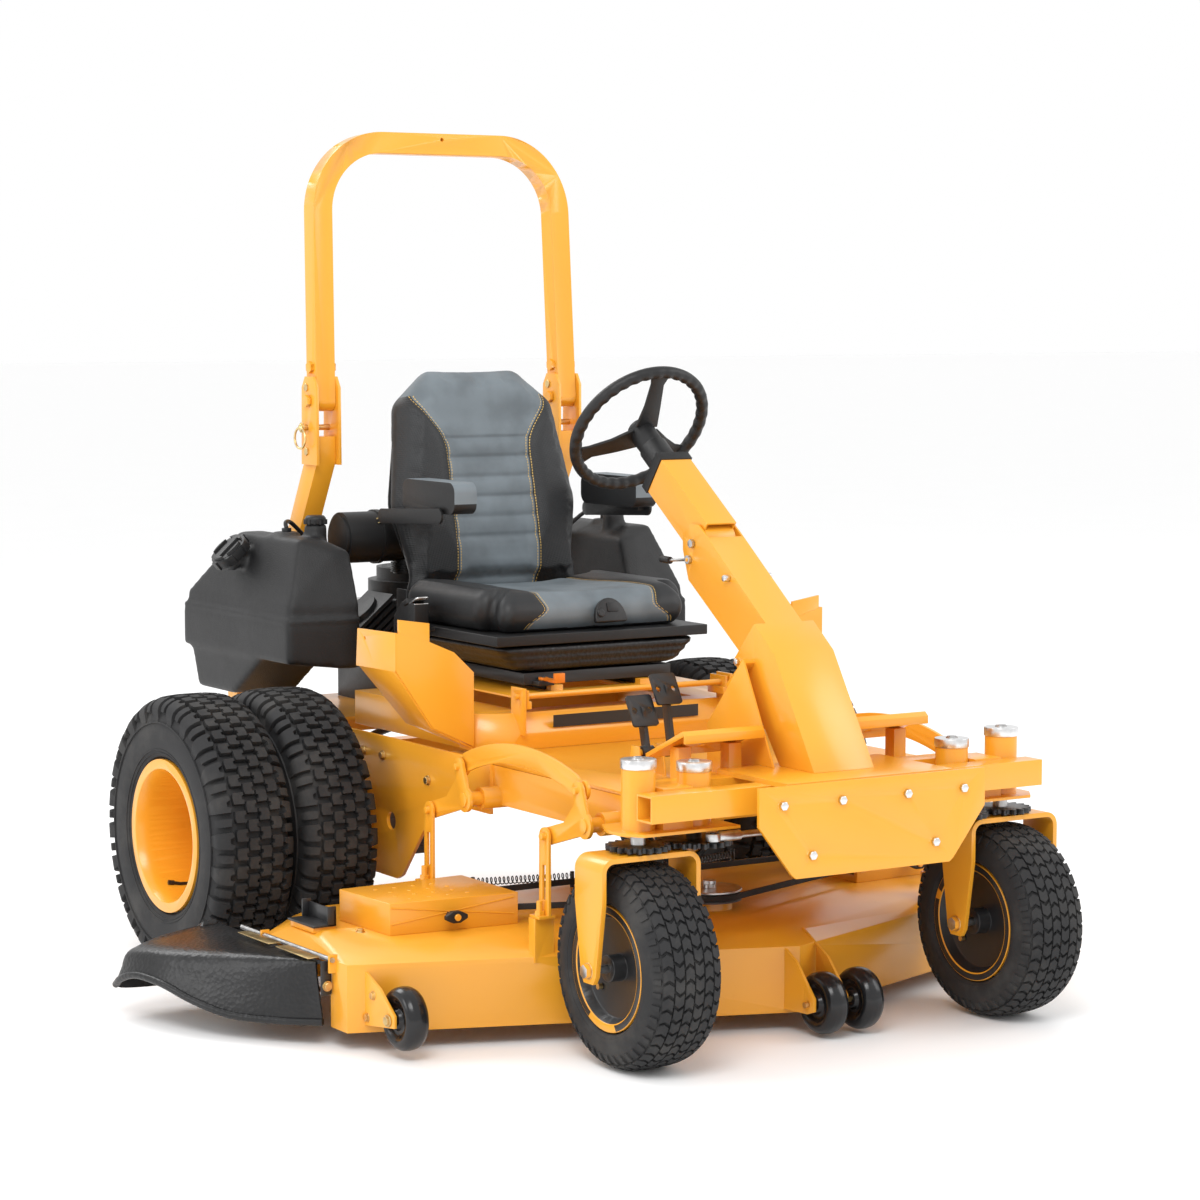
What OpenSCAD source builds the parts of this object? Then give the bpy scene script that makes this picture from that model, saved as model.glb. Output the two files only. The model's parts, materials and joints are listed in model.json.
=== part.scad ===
// Ride-on zero turn mower with a steering wheel, dual rear wheels and a belly deck.
// Every piece is placed in vehicle axes: front is -Y, the rear axle is y = 0, the ground is z = 0.

/* [Wheels] */
// Outer diameter of a rear tyre
rear_tyre_d = 610; // [590:5:616]
// Section width of a rear tyre
rear_tyre_w = 186; // [170:2:190]
// Outer diameter of a front tyre
front_tyre_d = 397; // [370:1:400]
// Section width of a front tyre
front_tyre_w = 160; // [140:2:164]
// Distance from the rear axle to the front spindles
wheelbase = 1256; // [1250:1:1275]
// Half of the distance between the front wheels
front_track_half = 443; // [440:1:450]

/* [Deck] */
// Half of the width of the mowing deck
deck_half_w = 860; // [850:1:870]
// Height of the deck skirt above the ground at the lowest cut
deck_low = 38; // [34:1:45]
// Thickness of the deck sheet
deck_t = 5; // [4:1:7]
// Length of a cutting blade
blade_l = 574; // [520:2:576]

/* [Frame] */
// Inner face of a frame side plate from the centre
rail_x = 400; // [396:1:404]
// Side of the square roll bar tube
bar_w = 48; // [44:1:50]
// Half of the distance between the roll bar legs
bar_half = 325; // [322:1:328]
// Height of the centre of the roll bar's top tube
bar_top = 1823; // [1800:5:1850]

/* [Steering] */
// Outer diameter of the steering wheel
wheel_d = 328; // [300:2:340]
// Slope of the steering column above the horizontal
column_slope = 36; // [34:1:38]

/* [Seat] */
// Height of the seat cushion's lower face
seat_z = 746; // [742:1:750]
// Lean of the seat back from the vertical
back_lean = 12; // [10:1:13]

/* [Hidden] */
$fn = 48;

paint = [1.0, 0.66, 0.1];
black = [0.09, 0.09, 0.1];
tyre_grey = [0.14, 0.14, 0.15];
steel = [0.7, 0.7, 0.72];
seat_grey = [0.42, 0.46, 0.49];

// The shared frame starts at the middle of the machine's box, on the ground.
mid_x = -133;
mid_y = -384.25;

fit = 0.05;            // running clearance on radius
front_y = -wheelbase;
rear_r = rear_tyre_d / 2;
front_r = front_tyre_d / 2;
outer_x = 768;         // centre of an outer rear tyre
inner_x = 565;         // centre of an inner rear tyre
hub_z = 570;           // top of the spindle housings
gear_in_x = 315;       // centre of a drive gear
gear_m = 2 * (front_track_half - gear_in_x) / 40;
fork_teeth = 18;
drive_teeth = 22;
gear_z = 422;
gear_t = 10;
steer_arm = 65;
shaft_d = 30;
deck_sheet_z = 200;    // top of the deck
skirt_top = 173;
nose_y = -1172;        // front point of the deck
sweep = 0.364;         // how fast the deck's front falls back on either side
side_spindle = [550, -650];
centre_spindle = [0, -850];
pulley_r = 62;
lift_rear = [-653, 440];   // y and z of the rear lift shaft
lift_front = [-1116, 450];
crank_x = 470;
hanger_arm = [131, -38];
link_arm = [25, 66];
bar_y = 262;
bar_bend = 161;        // centre line radius of the roll bar's corners
bar_lean = 3;          // backward lean of the roll bar
bar_taper = 0.9;       // inward lean of its legs
fold_z = 1231;
chute_hinge = [-868, 176]; // x and z of the deflector's hinge
tilt_pivot = [-849, 964];
lever_pivot = [-837, 930];
column_top = [-680, 1115];
wheel_centre = column_top + 128 * [cos(column_slope), sin(column_slope)];
roller_y = -966;
roller_z = 80;
roller_r = 63;
nose_roller_y = -1243;
nose_roller_z = 70;
pedal_pivot = [-975, 560];
cap_tilt = 42;
cap_at = [-512, 330, 872];
platform_hinge = [-520, 626];

// Stretches a flat outline drawn in y and z from x0 to x1.
module yz(x0, x1) translate([x0, 0, 0]) rotate([90, 0, 90]) linear_extrude(x1 - x0) children();

// Stretches a flat outline drawn in x and z from y0 to y1.
module xz(y0, y1) translate([0, y1, 0]) rotate([90, 0, 0]) linear_extrude(y1 - y0) children();

module box(a, b) translate(a) cube(b - a);

module both_sides() {
    children();
    mirror([1, 0, 0]) children();
}

module x_rod(x0, x1, y, z, d) translate([x0, y, z]) rotate([0, 90, 0]) cylinder(h = x1 - x0, d = d);

module z_rod(x, y, z0, z1, d) translate([x, y, z0]) cylinder(h = z1 - z0, d = d);

module rod(a, b, d) {
    v = b - a;
    translate(a) rotate([0, acos(v[2] / norm(v)), atan2(v[1], v[0])]) cylinder(h = norm(v), d = d);
}

// Flat bar with round ends, from one point to another, in the y and z plane.
module yz_bar(a, b, w) {
    v = b - a;
    translate(a) rotate(atan2(v[1], v[0])) translate([0, 0.3 - w / 2])
        square([norm(v), w - 0.6]);
    translate(a) circle(d = w);
    translate(b) circle(d = w);
}

module hex_head_x(x, y, z, af, t) translate([x, y, z]) rotate([0, 90, 0])
    cylinder(h = t, d = af / cos(30), $fn = 6);

module hex_head_y(x, y, z, af, t) translate([x, y, z]) rotate([90, 0, 0])
    cylinder(h = t, d = af / cos(30), $fn = 6);

module hex_head_z(x, y, z, af, t) translate([x, y, z]) cylinder(h = t, d = af / cos(30), $fn = 6);

// Ring section turned about the X axis, with its profile drawn as [radius, x].
module turned_x(x, y, z) translate([x, y, z]) rotate([0, 90, 0]) rotate_extrude($fn = 96) children();

module pick_side(s) scale([s, 1, 1]) children();

// ---- gears ----

function involute(a) = tan(a) * 180 / PI - a;

function tooth_half(r, z, slack) =
    let (rp = gear_m * z / 2, rb = rp * cos(25), a = r <= rb ? 0 : acos(rb / r))
    90 / z - slack / rp * 90 / PI + involute(25) - involute(a);

module gear_outline(z, slack = 0.3) {
    rp = gear_m * z / 2;
    rb = rp * cos(25);
    root = rp - 1.15 * gear_m;
    tip = rp + 0.85 * gear_m;
    radii = [root, max(rb, root + 0.4), (rb + rp) / 2 + 0.5, rp, (rp + tip) / 2, tip];
    polygon([for (i = [0:z - 1]) each concat(
        [for (k = [0:5]) radii[k] * [cos(i * 360 / z - tooth_half(radii[k], z, slack)),
            sin(i * 360 / z - tooth_half(radii[k], z, slack))]],
        [for (k = [5:-1:0]) radii[k] * [cos(i * 360 / z + tooth_half(radii[k], z, slack)),
            sin(i * 360 / z + tooth_half(radii[k], z, slack))]])]);
}

// ---- chassis ----

module side_plate_outline() polygon([[-640, 402], [-640, 512], [560, 512], [560, 330], [330, 210],
    [-240, 206], [-262, 216], [-421, 402]]);

module main_frame() color(paint) difference() {
    union() {
        both_sides() {
            difference() {
                yz(rail_x, rail_x + 8) side_plate_outline();
                x_rod(rail_x - 1, rail_x + 9, 0, rear_r, 136);
                x_rod(rail_x - 1, rail_x + 9, -215, 330, 40);
                x_rod(rail_x - 1, rail_x + 9, 250, 330, 60);
            }
            difference() {
                box([rail_x - 50, -1165, 425], [rail_x, -422, 505]);
                box([rail_x - 46, -1166, 429], [rail_x - 4, -421, 501]);
            }
            x_rod(rail_x - 60, rail_x + 40, lift_rear[0], lift_rear[1], 46);
            x_rod(rail_x - 60, rail_x + 40, lift_front[0], lift_front[1], 46);
            // bracket that carries the roll bar leg
            yz(rail_x - 104, rail_x - 4) polygon([[520, 512], [600, 512], [600, 420], [560, 380],
                [520, 420]]);
        }
        box([-rail_x, 470, 430], [rail_x, 520, 500]);
        box([-rail_x + 50, -460, 440], [rail_x - 50, -420, 500]);
        box([-rail_x, 150, 504], [rail_x, 560, 512]);
        // rear guard hoop and hitch plate
        both_sides() {
            box([330, 560, 380], [380, 640, 430]);
            box([330, 600, 380], [380, 650, 640]);
        }
        box([-380, 600, 600], [380, 650, 650]);
        box([-380, 600, 330], [380, 650, 380]);
        box([-70, 600, 318], [70, 686, 330]);
    }
    x_rod(-rail_x - 60, rail_x + 60, lift_rear[0], lift_rear[1], shaft_d + 2 * fit);
    x_rod(-rail_x - 60, rail_x + 60, lift_front[0], lift_front[1], shaft_d + 2 * fit);
    z_rod(0, 660, 300, 340, 20);
}

module seat_box_outline() polygon([[-360, -480], [-295, -530], [295, -530], [360, -480], [360, 40],
    [-360, 40]]);

module seat_box() color(paint) difference() {
    union() {
        translate([0, 0, 513]) linear_extrude(34) seat_box_outline();
        hull() {
            translate([0, 0, 546.9]) linear_extrude(1) seat_box_outline();
            translate([0, 30, 587]) linear_extrude(1) polygon([[-360, -480], [-290, -530],
                [290, -530], [360, -480], [360, 10], [-360, 10]]);
        }
        both_sides() {
            box([262, -545, 545], [268, -490, 645]);
            z_rod(240, -30, 580, 615.7, 18);
        }
    }
    box([-330, -470, 500], [330, 20, 578]);
    box([-230, -440, 570], [230, 0, 600]);
    x_rod(-280, 280, platform_hinge[0], platform_hinge[1], 12 + 2 * fit);
}

// Sheet floor with raised foot plates in front of it on either side of the column.
module floor_pan() color(paint) {
    difference() {
        box([-rail_x, -1162, 506], [rail_x, -531, 513]);
        box([-90, -1100, 500], [90, -1030, 520]);
    }
    both_sides() {
        difference() {
            yz(111, 298) polygon([[-1060, 572], [-1190, 630], [-1200, 622], [-1200, 606],
                [-1194, 606], [-1194, 620], [-1060, 563]]);
            z_rod(205, -1120, 500, 700, 16);
        }
        box([130, -1150, 512.5], [160, -1120, 592]);
        box([250, -1150, 512.5], [280, -1120, 592]);
    }
    for (x = [-268, -212, -152]) yz(x, x + 4) polygon([[-1000, 513], [-950, 513], [-962, 574],
        [-988, 574]]);
    x_rod(-268, -148, pedal_pivot[0], pedal_pivot[1], 14);
}

// Guards ahead of the rear tyres: a folded panel with a vertical side and a cut lower corner.
module fender_panels() color(paint) both_sides() {
    xz(-494, -490) polygon([[-361, 523], [-361, 681], [-409, 726], [-470, 752], [-547, 774],
        [-547, 694], [-460, 569]]);
    difference() {
        yz(-549, -545) polygon([[-493, 774], [-327, 770], [-320, 690], [-493, 694]]);
        x_rod(-560, -540, -360, 752, 8);
    }
    // cut corner sheet running back to the frame
    hull() {
        box([-549, -490, 692], [-545, -330, 694]);
        box([-462, -490, 567], [-458, -380, 569]);
    }
    hull() {
        box([-462, -490, 567], [-458, -380, 569]);
        box([-365, -490, 519], [-361, -470, 521]);
    }
    xz(-492, -486) polygon([[-467, 740], [-467, 790], [-540, 801], [-540, 760]]);
    box([-365, -490, 514], [-361, -440, 681]);
}

// Blow-moulded tank standing over the back of each tyre pair.
module fuel_tanks() color(black) both_sides() {
    difference() {
        union() {
            // belt of the tank
            hull() {
                translate([-533, 30, 655]) cube([10, 542, 97]);
                translate([-396, 8, 640]) cube([36, 564, 112]);
            }
            // shoulders rising to the filler ridge
            hull() {
                translate([-526, 40, 750]) cube([10, 522, 30]);
                translate([-396, 14, 750]) cube([36, 552, 30]);
                translate([-470, 100, 900]) cube([60, 300, 28]);
                translate([-400, 60, 880]) cube([40, 380, 20]);
            }
            // lower bulge behind the tyre
            hull() {
                translate([-526, 330, 560]) cube([166, 180, 10]);
                translate([-528, 190, 648]) cube([168, 350, 10]);
            }
            z_rod(-430, 235, 910, 936, 62);
            z_rod(-400, 150, 890, 958, 52);
        }
        translate(cap_at) rotate([0, -cap_tilt, 0]) translate([0, 0, -6]) cylinder(h = 80, d = 108);
    }
    translate(cap_at) rotate([0, -cap_tilt, 0]) translate([0, 0, -14]) cylinder(h = 22, d = 66);
}

module fuel_cap(s) color(black) pick_side(s) translate(cap_at) rotate([0, -cap_tilt, 0])
    translate([0, 0, 8.5]) difference() {
        union() {
            cylinder(h = 22, d = 92, $fn = 64);
            translate([0, 0, 22]) cylinder(h = 7, d = 80, $fn = 64);
            for (k = [0:5]) rotate(k * 60) translate([40, -9, 0]) cube([9, 18, 22]);
        }
        translate([-30, -34, 23]) cube([60, 24, 10]);
        translate([-30, 10, 23]) cube([60, 24, 10]);
    }
module fuel_cap_right() fuel_cap(1);
module fuel_cap_left() fuel_cap(-1);

module hub_tube(x, top) difference() {
    z_rod(x, front_y, 455, top, 66);
    z_rod(x, front_y, 440, top - 6, shaft_d + 2 * fit);
}

module front_beam() color(paint) {
    both_sides() {
        hub_tube(front_track_half, hub_z + 8);
        hub_tube(gear_in_x, hub_z - 6);
        difference() {
            union() {
                translate([0, 0, 455]) linear_extrude(6) polygon([[250, -1320], [470, -1320],
                    [500, -1280], [500, -1232], [470, -1170], [250, -1170]]);
                box([344, -1296, 460], [412, -1216, 540]);
            }
            z_rod(front_track_half, front_y, 440, 470, 60);
            z_rod(gear_in_x, front_y, 440, 560, 60);
            z_rod(front_track_half, front_y, 440, 560, 60);
        }
    }
    difference() {
        box([-474, -1350, 485], [474, -1298, 537]);
        box([-475, -1346, 489], [475, -1302, 533]);
        both_sides() z_rod(front_track_half, front_y, 440, 560, 60);
    }
    difference() {
        box([-rail_x, -1222, 462], [rail_x, -1166, 537]);
        box([-rail_x - 1, -1218, 466], [rail_x + 1, -1170, 533]);
        both_sides() z_rod(gear_in_x, front_y, 440, 580, 60);
    }
    // deck of plate that carries the column, with the steering gearbox hung below it
    box([-200, -1405, 536.9], [200, -1166, 546.7]);
    box([-60, -1290, 456], [60, -1232, 540]);
    both_sides() box([120, -1405, 380], [126, -1349, 540]);
}

module front_plate() color(paint) difference() {
    xz(-1415, -1407) polygon([[-273, 545], [273, 545], [273, 470], [196, 372], [186, 364],
        [-186, 364], [-196, 372], [-273, 470]]);
    for (x = [-218, -79, 79, 218]) translate([x, -1400, 508]) rotate([90, 0, 0])
        cylinder(h = 20, d = 10.5);
    for (x = [-149, 149]) translate([x, -1400, 407]) rotate([90, 0, 0]) cylinder(h = 20, d = 10.5);
}

module column_side() polygon([[-1316, 547], [-1178, 768], [-1093, 834], [-888, 990], [-868, 1004],
    [-838, 1004], [-812, 978], [-812, 950], [-833, 888], [-1040, 741], [-1130, 640],
    [-1200, 547]]);

module column_base() color(paint) difference() {
    union() {
        yz(-45, 45) intersection() {
            column_side();
            polygon([[-1190, 740], [-800, 740], [-800, 1100], [-1190, 1100]]);
        }
        yz(-73, 73) intersection() {
            column_side();
            polygon([[-1400, 500], [-1000, 500], [-1000, 700], [-1110, 822], [-1400, 1000]]);
        }
        both_sides() yz(96, 100) polygon([[-1110, 752], [-1216, 547], [-1164, 547],
            [-1164, 513], [-985, 513], [-985, 610]]);
        both_sides() yz(72, 98) polygon([[-1110, 752], [-1114, 744], [-1052, 690], [-1048, 696]]);
        x_rod(-53, -44, lever_pivot[0], lever_pivot[1], 8);
    }
    yz(-41, 41) polygon([[-1330, 500], [-1306, 547], [-1170, 762], [-1089, 828], [-905, 969],
        [-880, 1050], [-700, 1100], [-700, 900], [-1100, 500]]);
    yz(-69, 69) polygon([[-1330, 500], [-1306, 547], [-1170, 762], [-1060, 720], [-1000, 600],
        [-1000, 500]]);
    x_rod(-60, 60, tilt_pivot[0], tilt_pivot[1], 12 + 2 * fit);
}

module leg_line() polygon([[bar_y - 24, 1150], [bar_y + 24, 1150], [bar_y + 24, 1120], [588, 560],
    [588, 513], [534, 513], [534, 556], [bar_y - 24, 1092]]);

module rops_legs() color(paint) difference() {
    both_sides() {
        yz(bar_half - 24, bar_half + 24) leg_line();
        for (x = [bar_half - 32, bar_half + 25]) yz(x, x + 7) polygon([[bar_y - 38, 1085],
            [bar_y + 38, 1085], [bar_y + 36, 1262], [bar_y + 20, 1287], [bar_y - 20, 1287],
            [bar_y - 36, 1262]]);
    }
    both_sides() {
        x_rod(bar_half - 40, bar_half + 40, bar_y, fold_z, 16 + 2 * fit);
        x_rod(bar_half - 40, bar_half + 40, bar_y + 12, 1170, 14 + 2 * fit);
    }
}

// Half of the hoop seen from the front, with the fold pivot's height as its zero.
module hoop_half() {
    rise = (bar_top - fold_z) / cos(bar_lean);
    leg = (rise - bar_bend * (1 - sin(bar_taper))) / cos(bar_taper);
    cx = bar_half - leg * sin(bar_taper) - bar_bend * cos(bar_taper);
    translate([bar_half, 0]) rotate(bar_taper) translate([-24, 0]) square([48, leg + 0.5]);
    translate([cx, rise - bar_bend]) intersection() {
        difference() {
            circle(r = bar_bend + 24, $fn = 128);
            circle(r = bar_bend - 24, $fn = 128);
        }
        polygon([[-0.5, -0.5], [300, 300 * tan(bar_taper)], [300, 300], [-0.5, 300]]);
    }
    translate([-1, rise - 24]) square([cx + 1, 48]);
}

module rops_hoop() color(paint) translate([0, bar_y, fold_z]) rotate([-bar_lean, 0, 0])
    difference() {
        both_sides() {
            translate([0, 24, 0]) rotate([90, 0, 0]) linear_extrude(48) hoop_half();
            x_rod(bar_half - 24, bar_half + 24, 0, 0, 48);
            x_rod(bar_half - 40, bar_half + 40, 0, 0, 16);
            hex_head_x(bar_half + 33, 0, 0, 24, 9);
            hex_head_x(bar_half - 42, 0, 0, 24, 9);
            hex_head_x(bar_half + 22, 0, 77, 24, 9);
            hex_head_x(bar_half - 34, 0, 77, 24, 9);
        }
        translate([0, 40, (bar_top - fold_z) / cos(bar_lean) + 10]) rotate([90, 0, 0])
            cylinder(h = 80, d = 9);
    }

module rops_pin(s) color(steel) pick_side(s) {
    x_rod(bar_half - 40, bar_half + 46, bar_y + 12, 1170, 14);
    // pull ring at the outer end
    x_rod(bar_half + 46, bar_half + 52, bar_y + 12, 1170, 22);
    yz(bar_half + 46, bar_half + 51) difference() {
        translate([bar_y + 12, 1146]) circle(d = 52);
        translate([bar_y + 12, 1146]) circle(d = 40);
    }
}
module rops_pin_right() rops_pin(-1);
module rops_pin_left() rops_pin(1);

module engine() color(black) {
    box([-150, 190, 512.5], [150, 520, 660]);
    for (s = [-1, 1]) translate([s * 120, 330, 660]) rotate([0, s * 40, 0])
        for (k = [0:6]) translate([-62, -62, k * 16 - 6]) cube([124, 124, 9]);
    for (s = [-1, 1]) translate([s * 120, 330, 650]) rotate([0, s * 40, 0])
        cylinder(h = 118, d = 92);
    z_rod(0, 370, 640, 800, 260);
    z_rod(0, 370, 800, 830, 220);
    // exhaust canister across the back
    x_rod(-190, 190, 536, 690, 110);
    box([-20, 470, 640], [20, 560, 680]);
}

module air_cleaner() color(black) {
    x_rod(-286, -40, 248, 915, 118);
    x_rod(-292, -286, 248, 915, 100);
    x_rod(-200, -188, 248, 915, 126);
    for (k = [0:4]) z_rod(-110, 250, 830 + k * 5, 832.5 + k * 5, 74);
    z_rod(-110, 250, 826, 872, 62);
}

module hydro_drives() color(black) both_sides() {
    difference() {
        box([240, -85, 225], [399, 85, 400]);
        box([232, -70, 300], [262, 70, 410]);
    }
    x_rod(399, 440, 0, rear_r, 128);
    x_rod(440, 478, 0, rear_r, 90);
    x_rod(478, 486, 0, rear_r, 150);
    z_rod(320, 0, 400, 440, 70);
    z_rod(320, 0, 440, 455, 120);
}

// Bright spindle caps and the visible bolt heads of the chassis.
module chassis_fasteners() color(steel) {
    both_sides() {
        z_rod(front_track_half, front_y, hub_z + 8, hub_z + 26, 70);
        z_rod(gear_in_x, front_y, hub_z - 6, hub_z + 12, 70);
        hex_head_y(-218, -1415, 508, 16, 7);
        hex_head_y(-79, -1415, 508, 16, 7);
        hex_head_y(-149, -1415, 407, 16, 7);
        hex_head_x(-59, -980, 902, 13, 14);
        hex_head_x(-79, -1052, 740, 13, 6);
    }
}

// ---- seat ----

module seat_platform() color(paint) difference() {
    union() {
        box([-250, -500, 616], [250, -10, 620]);
        both_sides() {
            box([252, -540, 600], [258, -480, 640]);
            box([246, -540, 600], [252, -480, 616]);
            box([100, -430, 620], [130, -30, 632]);
        }
        x_rod(-274, 274, platform_hinge[0], platform_hinge[1], 12);
    }
    box([-80, -400, 610], [80, -80, 625]);
}

module suspension_base() color(black) {
    difference() {
        box([-190, -415, 634], [190, -20, 660]);
        box([-160, -385, 642], [160, -50, 670]);
    }
    box([-170, -444, 634], [-130, -414, 644.7]);
    z_rod(-150, -430, 640, 654, 8);
    both_sides() {
        box([96, -410, 632.3], [134, -50, 634.5]);
        box([131, -410, 621], [134, -50, 634]);
        box([96, -410, 621], [99, -50, 634]);
    }
}

module suspension_bellows() color(black) difference() {
    hull() {
        box([-205, -425, 661], [205, -15, 664]);
        box([-262, -440, 716], [262, 10, 722]);
    }
    hull() {
        box([-195, -415, 655], [195, -25, 664]);
        box([-250, -428, 716], [250, 0, 730]);
    }
}

module seat_shell() color(black) {
    difference() {
        box([-272, -440, 723], [272, 20, seat_z - 1]);
        box([-255, -424, 715], [255, 4, seat_z - 8]);
    }
    // arms that carry the backrest's pivot
    both_sides() box([240, 5, 735], [246, 52, 812]);
    // belt retractor and its latch plate
    hull() {
        translate([-316, -160, 770]) cube([36, 60, 60], center = true);
        translate([-316, -120, 745]) cube([30, 60, 40], center = true);
    }
    box([-300, -170, 735], [-272, -110, 745]);
}

module seat_cushion() color(seat_grey) difference() {
    union() {
        hull() for (x = [-215, 215], y = [-395, -40]) translate([x, y, seat_z + 38]) sphere(d = 76,
            $fn = 20);
        hull() for (y = [-330, -40]) translate([-248, y, seat_z + 52]) sphere(d = 84, $fn = 20);
        hull() for (y = [-330, -40]) translate([248, y, seat_z + 52]) sphere(d = 84, $fn = 20);
    }
    box([-400, -600, seat_z - 20], [400, 200, seat_z]);
}

module lean_back() translate([0, 40, 850]) rotate([-back_lean, 0, 0]) children();

module seat_back() color(seat_grey) {
    lean_back() hull() {
        translate([-188, 10, 10]) sphere(d = 90, $fn = 20);
        translate([188, 10, 10]) sphere(d = 90, $fn = 20);
        translate([-214, 14, 150]) sphere(d = 90, $fn = 20);
        translate([214, 14, 150]) sphere(d = 90, $fn = 20);
        translate([-180, 18, 380]) sphere(d = 90, $fn = 20);
        translate([180, 18, 380]) sphere(d = 90, $fn = 20);
        translate([-116, 18, 442]) sphere(d = 80, $fn = 20);
        translate([116, 18, 442]) sphere(d = 80, $fn = 20);
    }
    box([-236, 26, 780], [236, 54, 850]);
}

module armrest(s) color(black) pick_side(s) {
    hull() for (y = [-222, -33], z = [1018, 1042]) translate([208, y, z]) rotate([0, 90, 0])
        cylinder(h = 56, d = 46, $fn = 32);
    yz(270, 276) yz_bar([66, 976], [-190, 990], 34);
    box([256, -180, 984], [276, -40, 999]);
}
module armrest_right() armrest(-1);
module armrest_left() armrest(1);

module seat_lever() color("orange") difference() {
    union() {
        translate([-150, -430, 645]) cylinder(h = 6, d = 22);
        box([-157, -470, 645], [-143, -432, 651]);
        box([-162, -494, 645], [-138, -468, 651]);
        box([-162, -500, 645], [-138, -490, 666]);
    }
    z_rod(-150, -430, 640, 670, 8 + 2 * fit);
}

// ---- steering ----

// Axes of the column: X across, Y away from the driver's chest, Z up along the shaft.
module on_column() translate([0, column_top[0], column_top[1]])
    rotate([column_slope - 90, 0, 0]) children();

module column_tube() {
    color(paint) on_column() difference() {
        translate([-37, -35, -232]) cube([74, 85, 210]);
        translate([-33, -31, -233]) cube([66, 77, 200]);
    }
    color(black) on_column() {
        translate([-40, -38, -22]) cube([80, 92, 22]);
        difference() {
            cylinder(h = 60, d = 62);
            translate([0, 0, 20]) cylinder(h = 60, d = 24 + 2 * fit);
        }
    }
    color(steel) x_rod(-46, 46, tilt_pivot[0], tilt_pivot[1], 12);
    color(steel) hex_head_x(46, tilt_pivot[0], tilt_pivot[1], 16, 7);
    color(steel) hex_head_x(-53, tilt_pivot[0], tilt_pivot[1], 16, 7);
}

module steering_wheel() color(black) on_column() {
    translate([0, 0, 128]) rotate_extrude($fn = 96) translate([wheel_d / 2 - 14, 0]) circle(d = 28);
    for (a = [90, 210, 330]) rotate(a) translate([20, -22, 104]) rotate([0, -8, 0])
        cube([wheel_d / 2 - 36, 44, 9]);
    translate([0, 0, 62]) cylinder(h = 60, d = 58);
    translate([0, 0, 22]) cylinder(h = 60, d = 24);
}

module tilt_lever() {
    color(steel) difference() {
        union() {
            x_rod(-52, -45.3, lever_pivot[0], lever_pivot[1], 18);
            rod([-48.5, lever_pivot[0], lever_pivot[1]], [-48.5, -768, 924], 6);
        }
        x_rod(-60, -40, lever_pivot[0], lever_pivot[1], 8 + 2 * fit);
    }
    color(black) rod([-49.5, -772, 924], [-49.5, -740, 925], 15);
}

// Drive gear: shaft in the inner housing, gear below it and a steering pin on top of the gear.
module drive_gear(s) color(black) pick_side(s) {
    translate([gear_in_x, front_y, gear_z]) rotate(180 / drive_teeth) linear_extrude(gear_t)
        gear_outline(drive_teeth);
    z_rod(gear_in_x, front_y, gear_z, hub_z - 20, shaft_d);
    z_rod(gear_in_x, front_y - steer_arm, gear_z, 452, 12);
}
module drive_gear_right() drive_gear(-1);
module drive_gear_left() drive_gear(1);

module pitman_arm() color(black) {
    z_rod(0, front_y, gear_z, 455.5, 44);
    translate([0, 0, gear_z]) linear_extrude(gear_t) {
        translate([-16, front_y - steer_arm]) square([32, steer_arm]);
        translate([0, front_y - steer_arm]) circle(d = 32);
    }
    z_rod(0, front_y - steer_arm, gear_z, 452, 12);
}

// One cross rod with three eyes, which ties both drive gears to the pitman arm.
module tie_rods() color(steel) difference() {
    union() {
        x_rod(-gear_in_x, gear_in_x, front_y - steer_arm, 443, 13);
        for (x = [-gear_in_x, 0, gear_in_x]) z_rod(x, front_y - steer_arm, 436, 450, 30);
        both_sides() x_rod(gear_in_x - 62, gear_in_x - 12, front_y - steer_arm, 443, 20);
    }
    z_rod(0, front_y - steer_arm, 430, 460, 12 + 2 * fit);
    both_sides() z_rod(gear_in_x, front_y - steer_arm, 430, 460, 12.6);
}

// Fork: bent plate over the tyre with its gear and spindle on top.
module fork(s) pick_side(s) translate([front_track_half, front_y, 0]) {
    color(paint) difference() {
        union() {
            xz(-48, 48) difference() {
                union() {
                    translate([-112, 330]) square([224, 60]);
                    translate([-84, 330]) square([168, 88]);
                    for (x = [-84, 84]) translate([x, 390]) circle(r = 28, $fn = 64);
                }
                translate([-102, 320]) square([204, 70]);
                translate([-84, 320]) square([168, 88]);
                for (x = [-84, 84]) translate([x, 390]) circle(r = 18, $fn = 64);
            }
            for (x = [-112, 102]) yz(x, x + 10) polygon([[-48, 331], [48, 331], [26, front_r - 8],
                [16, front_r - 24], [-16, front_r - 24], [-26, front_r - 8]]);
        }
        x_rod(-120, 120, 0, front_r, 16 + 2 * fit);
    }
    color(black) translate([0, 0, gear_z]) linear_extrude(gear_t) gear_outline(fork_teeth);
    color(steel) {
        z_rod(0, 0, 416, hub_z - 6, shaft_d);
        x_rod(-118, 118, 0, front_r, 16);
        hex_head_x(112, 0, front_r, 24, 11);
        hex_head_x(-123, 0, front_r, 24, 11);
    }
}
module fork_right() fork(-1);
module fork_left() fork(1);

// ---- wheels ----

module tyre_profile(r, w, bead, bead_x, flange) polygon([[bead, -bead_x], [flange + 2, -bead_x],
    [flange + 6, -w * 0.46], [bead + (r - bead) * 0.45, -w / 2], [r - (r - bead) * 0.25, -w * 0.49],
    [r - 9, -w * 0.44], [r, -w * 0.37], [r, w * 0.37], [r - 9, w * 0.44],
    [r - (r - bead) * 0.25, w * 0.49], [bead + (r - bead) * 0.45, w / 2], [flange + 6, w * 0.46],
    [flange + 2, bead_x], [bead, bead_x], [bead + 14, bead_x - 12], [r - 16, w * 0.32],
    [r - 16, -w * 0.32], [bead + 14, 12 - bead_x]]);

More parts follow.
